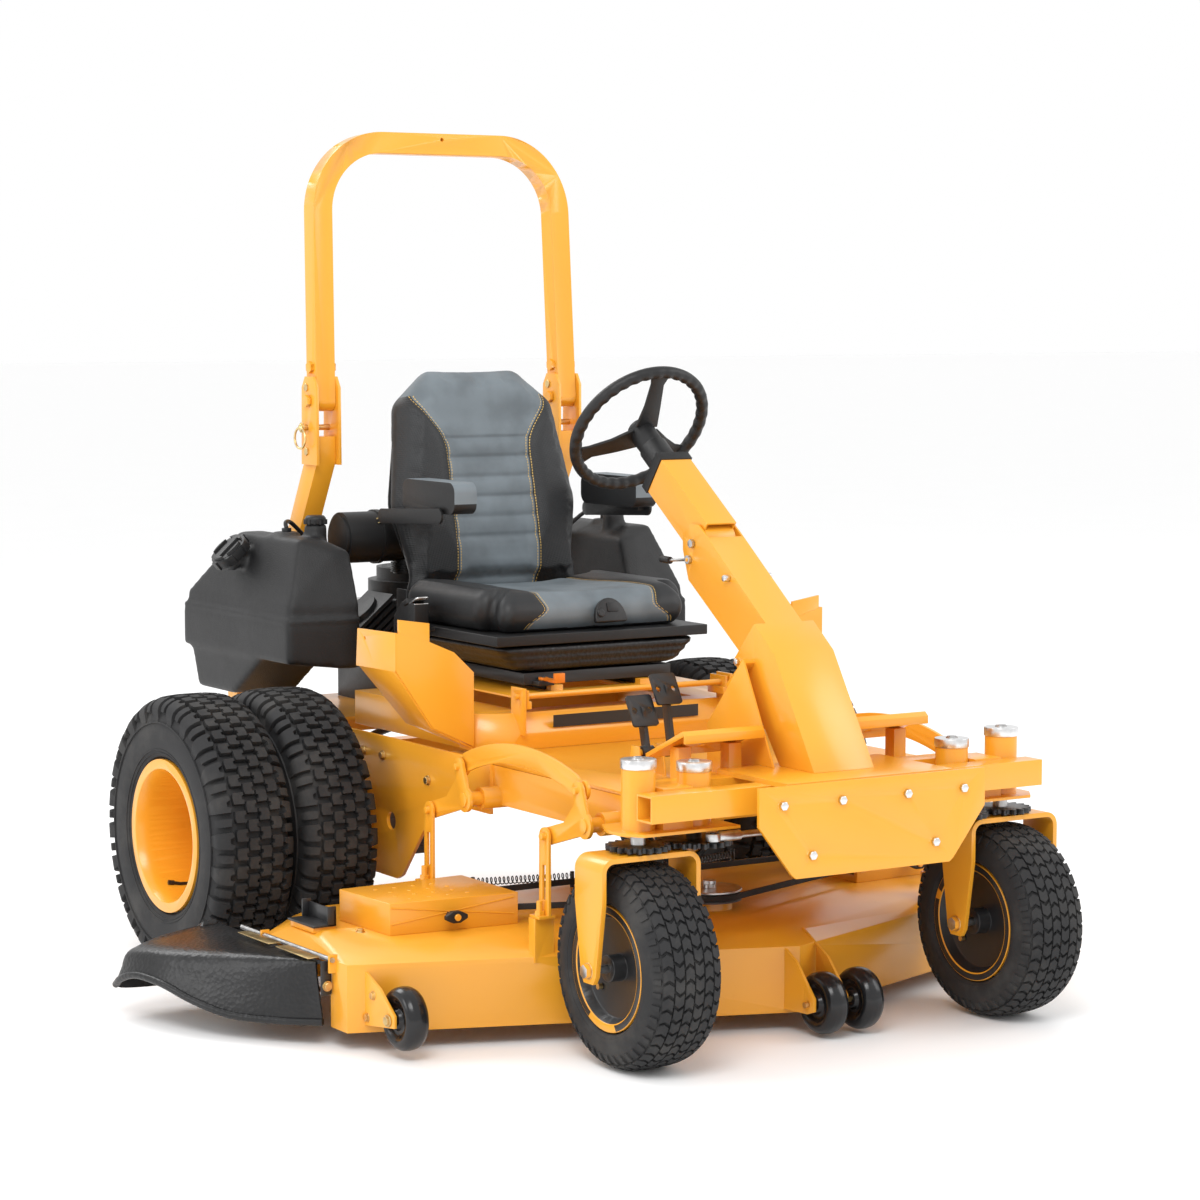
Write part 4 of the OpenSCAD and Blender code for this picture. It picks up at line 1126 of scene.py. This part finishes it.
class MOWER_OT_engine(bpy.types.Operator):
    """Engine block, blower, exhaust, air cleaner and the wheel drives."""

    bl_idname = "mower.engine"
    bl_label = "Engine and drives"

    def execute(self, context):
        softened("engine", 2.2, 2, [("steel", near_axis(536, 690, 57))], slot="black_plastic")
        softened("air_cleaner", 2.5, 3, slot="black_plastic")
        bm = bmesh.new()
        for k in range(16):
            inside = 96 - k * 4.2
            outside = inside + 3
            ring = turned(rounded([(0, inside), (0, outside), (2, outside), (2, inside)], 0.5, 1), 48)
            join(bm, ring, Matrix.Translation(at(0, 370, 829.2)) @ Matrix.Rotation(-pi / 2, 4, "Y"))
        piece("blower_screen", bm, "chassis", "black_plastic")
        clips = bmesh.new()
        for angle in (-60, 20, 140):
            a = radians(angle)
            base = Vector((0, 62 * cos(a), 62 * sin(a)))
            tip = base * 1.04
            line = [(-214, 248 + base.y, 915 + base.z), (-206, 248 + tip.y, 915 + tip.z),
                    (-184, 248 + tip.y, 915 + tip.z), (-170, 248 + base.y, 915 + base.z)]
            for shift in (-6, 6):
                moved = [(x, y - shift * sin(a), z + shift * cos(a)) for x, y, z in line]
                join(clips, swept(moved, 3, 8))
        piece("cleaner_clips", clips, "chassis", "gold_zinc")
        softened("hydro_drives", 6, 3, slot="cast_metal")
        fins = bmesh.new()
        for s in (-1, 1):
            for k in range(6):
                z = 238 + k * 24
                join(fins, block((s * 300 - 45, -78, z), (s * 300 + 45, -88, z + 5), 1.5))
        piece("drive_fins", fins, "chassis", "cast_metal")
        hoses = bmesh.new()
        for s in (-1, 1):
            line = curve_points([(s * 320, -60, 402), (s * 318, -140, 440), (s * 250, -260, 452),
                                 (s * 150, -330, 430), (s * 60, -300, 420)], 6)
            join(hoses, swept(line, 19, 12))
            line = curve_points([(s * 300, 60, 402), (s * 290, 130, 450), (s * 200, 190, 470),
                                 (s * 90, 220, 480)], 6)
            join(hoses, swept(line, 19, 12))
        piece("drive_hoses", hoses, "chassis", "black_rubber")
        softened("chassis_fasteners", 1.2, 2, slot="aluminium")
        return {"FINISHED"}


# ---- the seat ----

# The line that the back turns about, in millimetres, and how far it leans back at rest.
BACK_HINGE = (0, 40, 850)
LEAN = radians(12)
# A pad starts at this part of its size, because it swells.
PAD_SHRINK = 0.965


def in_back(p):
    """A point beside the seat back, turned upright: across, out of the front, up from the hinge."""
    y, z = p.y - BACK_HINGE[1], p.z - BACK_HINGE[2]
    return p.x, y * cos(LEAN) - z * sin(LEAN), z * cos(LEAN) + y * sin(LEAN)


def panel_half(up):
    """Half width of the back's middle panel at a height above the hinge."""
    return 400 if up > 402 else 106 + 66 * ease(up, 262, 402) ** 1.3


class MOWER_OT_seat(bpy.types.Operator):
    """Padded cushion and back with sewn channels, shell, skirt, armrests and dial panel."""

    bl_idname = "mower.seat"
    bl_label = "Seat"

    def execute(self, context):
        sizes = context.scene.mower_seat
        self.cushion(sizes)
        self.back(sizes)
        self.armrests()
        self.shell()
        self.skirt()
        self.panel()
        return {"FINISHED"}

    def cushion(self, sizes):
        """The seat pad, filled with air, with raised wings beside a hollow."""
        made = soft_copy("seat_cushion_pad", "seat_cushion", sizes.voxel * 1000, 3, PAD_SHRINK)
        plumped(made, sizes.fill, 0.014)
        low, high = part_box("seat_cushion")
        for vert in made.data.vertices:
            p = local(vert.co)
            # raised wings beside a shallow hollow, with a drop at the front edge
            top = ease(p.z, 775, 815)
            wing = ease(abs(p.x), 150, 205) * (1 - ease(abs(p.x), 265, 300))
            hollow = (1 - ease(abs(p.x), 60, 175)) * (1 - ease(p.y, -60, 0)) * ease(p.y, -420, -300)
            vert.co.z += top * (0.006 * wing * ease(p.y, -430, -330) - 0.012 * hollow)
            # groove along the wing's seam
            seam = self.cushion_seam(p)
            vert.co.z -= top * 0.004 * math.exp(-((seam / 9) ** 2))
            kept_inside(vert, low, high)
        subdivided(made)
        lay_attributes(made, lambda p: {
            "seam": self.cushion_seam(p) / 1000, "run": (p.y + p.z) / 1000, "wing": 0.0,
        })
        finish_piece(made, "seat", "vinyl_grey", ["seat_cushion"], ["cover"])

    @staticmethod
    def cushion_seam(p):
        """Distance inside the cushion's grey middle."""
        half = 150 - 30 * ease(p.y, -300, -120) - 20 * ease(-p.y, 380, 435) + 40 * ease(-p.z, -800, -760)
        return half - abs(p.x - 12) if p.z > 752 else -30

    def back(self, sizes):
        """The back pad with its sewn channels, and the tray behind it."""
        made = soft_copy("seat_back_pad", "seat_back", sizes.voxel * 1000, 4, PAD_SHRINK)
        plumped(made, sizes.fill, 0.013)
        low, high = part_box("seat_back")
        front = Vector((0, -cos(LEAN), sin(LEAN)))
        for vert in made.data.vertices:
            p = local(vert.co)
            x, out, up = in_back(p)
            face = ease(-out, 0, 18)
            seam = panel_half(up) - abs(x)
            # wings stand forward of the middle, which is hollow and channelled
            wings = ease(-seam, -6, 34) * (1 - ease(abs(x), 208, 250)) * (1 - ease(up, 330, 420))
            middle = ease(seam, -4, 30) * (1 - ease(up, 330, 420))
            push = 0.011 * wings * ease(up, 20, 120) - 0.011 * middle
            push -= 0.0045 * math.exp(-((seam / 7) ** 2)) * (1 - ease(up, 395, 402))
            if seam > 0 and up < 300:
                row = (up - 22) / 46
                dip = abs(row - round(row)) * 46
                push -= 0.0052 * math.exp(-((dip / 4.6) ** 2)) * (1 if 0.5 < row < 6.6 else 0)
                push += 0.0016 * (dip / 23)
            vert.co += front * push * face
            kept_inside(vert, low, high)
        subdivided(made)

        def values(p):
            x, out, up = in_back(p)
            seam = panel_half(up) - abs(x) if out < 22 else -30
            wing = ease(-seam, 4, 7) * ease(-out, -6, 4)
            return {"seam": seam / 1000, "run": up / 1000, "wing": wing}

        lay_attributes(made, values)
        finish_piece(made, "backrest", "vinyl_grey", ["seat_back"], ["cover"])
        tray = slab(rounded([(-196, 20), (196, 20), (232, 150), (196, 330), (-196, 330), (-232, 150)],
                            30), 5, 2)
        place = Matrix.Translation(at(*BACK_HINGE)) @ Matrix.Rotation(-LEAN, 4, "X")
        place = place @ Matrix.Translation((0, 0.052, 0)) @ Matrix.Rotation(pi / 2, 4, "X")
        bmesh.ops.transform(tray, matrix=place, verts=tray.verts)
        piece("back_tray", tray, "backrest", "black_plastic")

    def armrests(self):
        """Armrests with a grey pad on their inner side."""
        for side in ("right", "left"):
            node = "armrest_" + side
            bm = merged(node)
            round_edges(bm, 2.0, 2)
            made = piece(node + "_frame", bm, body_of(node), "black_plastic", [node],
                         ["black_plastic", "vinyl_grey"])
            for face in made.data.polygons:
                p = local(face.center)
                if p.z > 1003 and abs(p.x) < 266 and (p.z > 1052 - 30 * ease(-p.y, 190, 240)):
                    face.material_index = 1

    def shell(self):
        """The seat's shell and base, its slide lever, and the belt's tongue and catch."""
        softened("seat_shell", 9, 4, [
            ("steel", lambda p: p.x < -290 and p.z > 791 and p.y < -160)
        ], slot="black_plastic", angle=45)
        softened("suspension_base", 1.2, 2, slot="black_paint")
        softened("seat_lever", 1.6, 2, slot="orange_plastic")
        buckle = slab(rounded([(-16, -26), (16, -26), (16, 26), (-16, 26)], 6), 4, 1.2)
        place = Matrix.Translation(at(-318, -176, 801)) @ Matrix.Rotation(radians(-25), 4, "X")
        bmesh.ops.transform(buckle, matrix=place, verts=buckle.verts)
        piece("belt_tongue", buckle, "seat", "steel")
        tab = slab(rounded([(-19, 0), (19, 0), (19, 22), (-19, 22)], 6), 13, 3, 3)
        bmesh.ops.transform(tab, matrix=place @ Matrix.Translation((0, 0.012, 0.003)), verts=tab.verts)
        piece("belt_catch", tab, "seat", "black_plastic")

    def skirt(self):
        """Pleated skirt between the shell and the suspension."""
        bm = bmesh.new()
        rings = []
        low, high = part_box("suspension_bellows")
        levels = 9
        for k in range(levels):
            t = k / (levels - 1)
            z = low.z + (high.z - low.z) * t
            out = (-0.007 if k % 2 else 0.0) - 0.002 * (k in (0, levels - 1))
            grow = t ** 0.8
            x = 0.205 + 0.057 * grow + out
            y0, y1 = -425 - 15 * grow, -15 + 25 * grow
            corners = rounded([(-x * 1000, y0 - out * 1000), (x * 1000, y0 - out * 1000),
                               (x * 1000, y1 + out * 1000), (-x * 1000, y1 + out * 1000)], 46, 6)
            ring = [bm.verts.new(at(a, b, 0) + Vector((0, 0, z))) for a, b in corners]
            rings.append([bm.edges.new((a, b)) for a, b in zip(ring, ring[1:] + ring[:1])])
        for a, b in zip(rings, rings[1:]):
            bmesh.ops.bridge_loops(bm, edges=a + b)
        bmesh.ops.holes_fill(bm, edges=rings[0] + rings[-1], sides=0)
        bmesh.ops.recalc_face_normals(bm, faces=bm.faces)
        made = as_object("suspension_skirt", bm)
        subdivided(made)
        made.data.materials.append(FINISHES["black_rubber"])
        made.data.shade_smooth()
        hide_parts("suspension_bellows")
        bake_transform(made)

    def panel(self):
        """Half round panel with the weight dial, in the cushion's front."""
        arch = [(40 * cos(radians(a)), 46 * sin(radians(a))) for a in range(0, 181, 15)]
        arch = [(-40, -8)] + arch[::-1] + [(40, -8)]
        body = slab(arch, 12, 3, 3)
        place = Matrix.Translation(at(22, -424, 768)) @ Matrix.Rotation(radians(72), 4, "X")
        bmesh.ops.transform(body, matrix=place, verts=body.verts)
        dial = turned(rounded([(10, 0.2), (16, 0.2), (16, 7), (15, 9), (10, 9)], 1), 28)
        join(body, dial, place @ Matrix.Translation((-0.026, 0.012, 0)) @ Matrix.Rotation(-pi / 2, 4, "Y"))
        window = slab([(-12, 14), (16, 14), (16, 34), (-12, 34)], 3, 0.8)
        join(body, window, place @ Matrix.Translation((0.004, 0, 0.0112)))
        bmesh.ops.recalc_face_normals(body, faces=body.faces)
        piece("weight_panel", body, "seat", "black_plastic")


# ---- deck ----


class MOWER_OT_deck(bpy.types.Operator):
    """Deck sheet, belt covers, lift cranks, blades, rollers and the rubber deflector."""

    bl_idname = "mower.deck"
    bl_label = "Deck"

    def execute(self, context):
        edge = context.scene.mower_look.edge * 1000
        softened("deck_shell", edge * 1.6, 3)
        knob = ("black_plastic", lambda p: p.y < -787 and p.z < 246 and 556 < abs(p.x) < 614)
        softened("belt_covers", 3, 3, [knob])
        for node in ("drag_links", "lift_shaft_rear", "lift_shaft_front", "deck_hangers"):
            softened(node, edge)
        softened("deck_belt", 1, 1, slot="belt")
        for side in ("centre", "right", "left"):
            cast = ("cast_metal", lambda p: 82 < p.z < 240)
            softened("blade_" + side, 0.8, 1, [cast], slot="steel")
        self.dimples()
        self.rollers()
        self.deflector()
        self.fittings()
        return {"FINISHED"}

    def dimples(self):
        """Small domes, a crossed pressing and a round boss on each belt cover."""
        bm = bmesh.new()
        for s in (-1, 1):
            for i in range(4):
                for j in range(4):
                    x, y = s * (520 + i * 44 + 12 * (j % 2)), -740 + j * 42
                    dome = turned(rounded([(0, 0.2), (0, 5.6), (1.3, 4.2), (1.3, 0.2)], 0.8), 16)
                    turn = Matrix.Translation(at(x, y, 264.6)) @ Matrix.Rotation(-pi / 2, 4, "Y")
                    join(bm, dome, turn)
            # the front face runs back a little towards the outside, and its cross follows it
            for start, end in ((222, 256), (256, 222)):
                line = []
                for t in (0, 0.25, 0.5, 0.75, 1):
                    x = 440 + 272 * t
                    line.append((s * x, -790.2 + 22 * (x - 430) / 285, start + (end - start) * t))
                join(bm, swept(line, 3, 8))
            disc = turned(rounded([(0, 0.2), (0, 7), (5, 7), (5, 0.2)], 1.5), 24)
            join(bm, disc, Matrix.Translation(at(s * 585, -812, 232)) @ Matrix.Rotation(-pi / 2, 4, "Z"))
        piece("cover_pressings", bm, "deck", "yellow_paint")

    def rollers(self):
        """Waisted rollers on their pins: one at each side and a pair at the nose."""
        profile = rounded([(-25, 7), (-25, 17), (-15, 22), (-15, 30), (-23, 40), (-25, 48), (-21, 56),
                           (-12, 61.4), (0, 62.8), (12, 61.4), (21, 56), (25, 48), (23, 40), (15, 30),
                           (15, 22), (25, 17), (25, 7)], 3)

        def one():
            return turned(profile, 72)

        for side, s in (("right", -1), ("left", 1)):
            bm = place_copies(one, [at(s * 790, -966, 80)])
            node = "roller_" + side
            piece(node + "_wheel", bm, body_of(node), "roller_rubber", [node])
            pin = swept([(s * 762, -966, 80), (s * 832, -966, 80)], 12, 20)
            join(pin, bolt((s * 829, -966, 80), (s, 0, 0), 17, 5))
            piece(node + "_pin", pin, body_of(node), "gold_zinc", smooth=30)
        bm = place_copies(one, [at(8, -1243, 70), at(96, -1243, 70)])
        piece("nose_roller_wheels", bm, "gauge_nose", "roller_rubber", ["nose_rollers"])
        piece("nose_roller_pin", swept([(-40, -1243, 70), (126, -1243, 70)], 12, 20), "gauge_nose",
              "gold_zinc")

    def deflector(self):
        """The rubber hood lofted from its hinge line over its crest to its free edge."""
        free = [(-879, -792, 47), (-938, -730, 45), (-1003, -640, 47), (-1048, -560, 66),
                (-1080, -480, 90), (-1098, -400, 95), (-1107, -345, 80), (-1104, -308, 60),
                (-1050, -301, 52), (-960, -301, 50), (-880, -301, 50)]
        crest = [(-884, -772, 160), (-925, -712, 160), (-972, -622, 157), (-1014, -542, 154),
                 (-1046, -470, 152), (-1068, -400, 148), (-1078, -350, 142), (-1074, -326, 138),
                 (-1030, -316, 146), (-955, -314, 156), (-882, -314, 163)]
        root = [(-873, y, 169) for y in (-778, -712, -630, -560, -490, -420, -370, -340, -322,
                                         -316, -312)]
        bm = bmesh.new()
        rows = []
        for low, ridge, top in zip(*(curve_points(line, 4) for line in (free, crest, root))):
            half = (top + ridge) / 2 + Vector((0, 0, 5))
            skirt = ridge * 0.45 + low * 0.55 + (low - top).normalized() * 4
            section = curve_points([top, half, ridge, skirt, low], 6)
            chain = [bm.verts.new(at(*point)) for point in section]
            rows.append([bm.edges.new(pair) for pair in zip(chain, chain[1:])])
        for a, b in zip(rows, rows[1:]):
            bmesh.ops.bridge_loops(bm, edges=a + b)
        bmesh.ops.recalc_face_normals(bm, faces=bm.faces)
        if sum(face.normal.z for face in bm.faces) < 0:
            bmesh.ops.reverse_faces(bm, faces=bm.faces)
        made = as_object("deflector_hood", bm)
        wall = made.modifiers.new("wall", "SOLIDIFY")
        wall.thickness, wall.offset = 0.007, -1
        apply_modifiers(made)
        finish_piece(made, "deflector", "black_rubber", ["chute"], smooth=60)
        lip = swept(curve_points([(x, y, z + 3) for x, y, z in free[:8]], 6), 15, 16)
        piece("deflector_lip", lip, "deflector", "black_rubber", smooth=60)
        hinge = swept([(-868, -815, 176), (-868, -415, 176)], 10, 16)
        piece("deflector_hinge_rod", hinge, "deflector", "steel")
        bracket = block((-884, -796, 104), (-861, -792.5, 172), 1)
        piece("deflector_bracket", bracket, "deflector", "black_paint")
        bolts("deflector_bolts", "deflector", [((-871, -797, 122), (0, -1, 0))], "gold_zinc", 15, 6)
        strips = bmesh.new()
        for y0, y1 in ((-780, -640), (-610, -470)):
            join(strips, block((-905, y0, 176.2), (-878, y1, 178.6), 0.8))
        piece("hood_strips", strips, "deflector", "gold_zinc")

    def fittings(self):
        """Bracket beside the discharge, bolts, idler springs and the spindles' bolts."""
        ear = bmesh.new()
        join(ear, block((-822, -645, 205.5), (-770, -530, 210), 1))
        join(ear, block((-790, -645, 206), (-770, -640, 246), 1.2))
        join(ear, block((-790, -535, 206), (-770, -530, 246), 1.2))
        join(ear, block((-776, -645, 206), (-771, -530, 240), 1.2))
        piece("deck_bracket", ear, "deck", "black_paint")
        places = []
        for s in (-1, 1):
            places += [((s * x, -700, 200.5), (0, 0, 1)) for x in (395, 745)]
            places += [((s * 827.4, -905, 118), (s, 0, 0)), ((s * 827.4, -880, 70), (s, 0, 0))]
        bolts("deck_bolts", "deck", places, "gold_zinc", 13, 5)
        springs = bmesh.new()
        for s in (-1, 1):
            coil = [(s * (120 + 1.15 * t), -500 + 0.28 * t + 8 * cos(t * 0.785),
                     223 + 8 * sin(t * 0.785)) for t in range(0, 190)]
            join(springs, swept(coil, 2.6, 6))
            for x, y in ((120, -500), (338, -448)):
                join(springs, swept([(s * x, y, 198), (s * x, y, 234)], 9, 12))
        piece("idler_springs", springs, "deck", "black_paint")
        spindles = bmesh.new()
        for x, y in ((0, -850), (550, -650), (-550, -650)):
            for k in range(6):
                a = k * pi / 3 + 0.4
                join(spindles, bolt((x + 40 * cos(a), y + 40 * sin(a), 216), (0, 0, 1), 9, 3))
        piece("spindle_bolts", spindles, "deck", "steel", smooth=30)


class MOWER_OT_controls(bpy.types.Operator):
    """Pedals, lock pins with their rings, and the bolts of the frame."""

    bl_idname = "mower.controls"
    bl_label = "Controls and bolts"

    def execute(self, context):
        for node in ("pedal_forward", "pedal_reverse"):
            softened(node, 1.0, 2, slot="black_paint")
        for side, s in (("right", -1), ("left", 1)):
            node = "rops_pin_" + side
            bm = swept([(s * 285, 274, 1170), (s * 371, 274, 1170)], 14, 20)
            turns = [t * pi / 14 for t in range(29)]
            ring = [(s * 374, 274 + 26 * sin(a), 1146 + 24 * cos(a)) for a in turns]
            join(bm, swept(ring, 5.5, 10))
            join(bm, bolt((s * 369, 274, 1170), (s, 0, 0), 17, 4))
            piece(f"lock_pin_wire_{side}", bm, body_of(node), "gold_zinc", [node], smooth=40)
            boss = bmesh.new()
            for z in (1115, 1262):
                join(boss, bolt((s * 352, 274, z), (s, 0, 0), 17, 7))
                join(boss, bolt((s * 298, 274, z), (-s, 0, 0), 17, 7))
            piece(f"bar_bolts_{side}", boss, "chassis", "gold_zinc", smooth=30)
        spots = ((-180, 470), (-90, 470), (120, 470), (400, 470), (480, 400), (-380, 440))
        places = [((s * 409, y, z), (s, 0, 0)) for s in (-1, 1) for y, z in spots]
        bolts("side_plate_bolts", "chassis", places, "gold_zinc", 15, 6)
        return {"FINISHED"}


# ---- studio ----


class MOWER_OT_stage(bpy.types.Operator):
    """Pale floor, soft lights and the camera."""

    bl_idname = "mower.stage"
    bl_label = "Studio"

    def execute(self, context):
        scene = context.scene
        look = scene.mower_stage
        scene.view_settings.view_transform = "Standard"
        bm = bmesh.new()
        bmesh.ops.create_grid(bm, x_segments=2, y_segments=2, size=60)
        floor = as_object("floor", bm)
        f = Finish("floor_white")
        pale = f.mix(f.noise(2, 2), (0.99, 0.99, 0.99), (0.975, 0.975, 0.975))
        f.set(Base_Color=pale, Roughness=0.6)
        floor.data.materials.append(f.material)
        world = bpy.data.worlds.new("studio")
        scene.world = world
        world.use_nodes = True
        sky = world.node_tree.nodes["Background"].inputs
        sky["Color"].default_value = (1, 1, 1, 1)
        sky["Strength"].default_value = 1.0
        middle = (Vector(cad_box[0]) + Vector(cad_box[1])) / 2
        for name, place, size, power in (
            ("key", (-3.2, -4.2, 4.6), 3.2, look.light),
            ("fill", (4.6, -3.2, 2.8), 3.5, look.light * 0.42),
            ("rear", (-1.5, 4.5, 4.2), 3.0, look.light * 0.55),
            ("side", (-5.4, 0.6, 1.6), 2.4, look.light * 0.25),
        ):
            lamp = bpy.data.lights.new(name, "AREA")
            lamp.shape, lamp.size, lamp.energy = "DISK", size, power
            made = bpy.data.objects.new(name, lamp)
            made.location = middle + Vector(place)
            made.rotation_euler = (middle - made.location).to_track_quat("-Z", "Y").to_euler()
            scene.collection.objects.link(made)
        camera = bpy.data.cameras.new("camera")
        camera.lens, camera.sensor_width, camera.clip_end = look.lens, 36, 200
        made = bpy.data.objects.new("camera", camera)
        yaw, pitch, roll = radians(32.416), radians(5.359), radians(0.0975)
        made.location = at(-3776.7, -6369, 1471.6)
        turn = Matrix.Rotation(-yaw, 4, "Z") @ Matrix.Rotation(pi / 2 - pitch, 4, "X")
        made.rotation_euler = (turn @ Matrix.Rotation(roll, 4, "Z")).to_euler()
        scene.collection.objects.link(made)
        scene.camera = made
        return {"FINISHED"}


OPERATORS = (
    MOWER_OT_stage, MOWER_OT_tyres, MOWER_OT_rims, MOWER_OT_frame_metal, MOWER_OT_column,
    MOWER_OT_steering_gear, MOWER_OT_tanks, MOWER_OT_engine, MOWER_OT_seat, MOWER_OT_deck,
    MOWER_OT_controls,
)


class MOWER_PT_panel(bpy.types.Panel):
    """Buttons for the mower's pieces."""

    bl_idname = "MOWER_PT_panel"
    bl_label = "Mower"
    bl_space_type = "VIEW_3D"
    bl_region_type = "UI"
    bl_category = "Mower"

    def draw(self, context):
        for group in GROUPS:
            sizes = getattr(context.scene, group)
            for name in sizes.bl_rna.properties.keys():
                if name not in ("rna_type", "name"):
                    self.layout.prop(sizes, name)
        for operator in OPERATORS:
            self.layout.operator(operator.bl_idname)


GROUPS = {
    "mower_look": MowerLook, "mower_tyres": MowerTyres, "mower_seat": MowerSeat,
    "mower_stage": MowerStage,
}
CLASSES = (*GROUPS.values(), *OPERATORS, MOWER_PT_panel)


def register():
    for made in CLASSES:
        bpy.utils.register_class(made)
    for name, group in GROUPS.items():
        setattr(bpy.types.Scene, name, PointerProperty(type=group))


def unregister():
    for name in GROUPS:
        delattr(bpy.types.Scene, name)
    for made in reversed(CLASSES):
        bpy.utils.unregister_class(made)


def main():
    register()
    scene = bpy.context.scene
    make_finishes(scene.mower_look.paint)
    for operator in OPERATORS:
        group, name = operator.bl_idname.split(".")
        getattr(getattr(bpy.ops, group), name)()


if __name__ == "__main__":
    main()
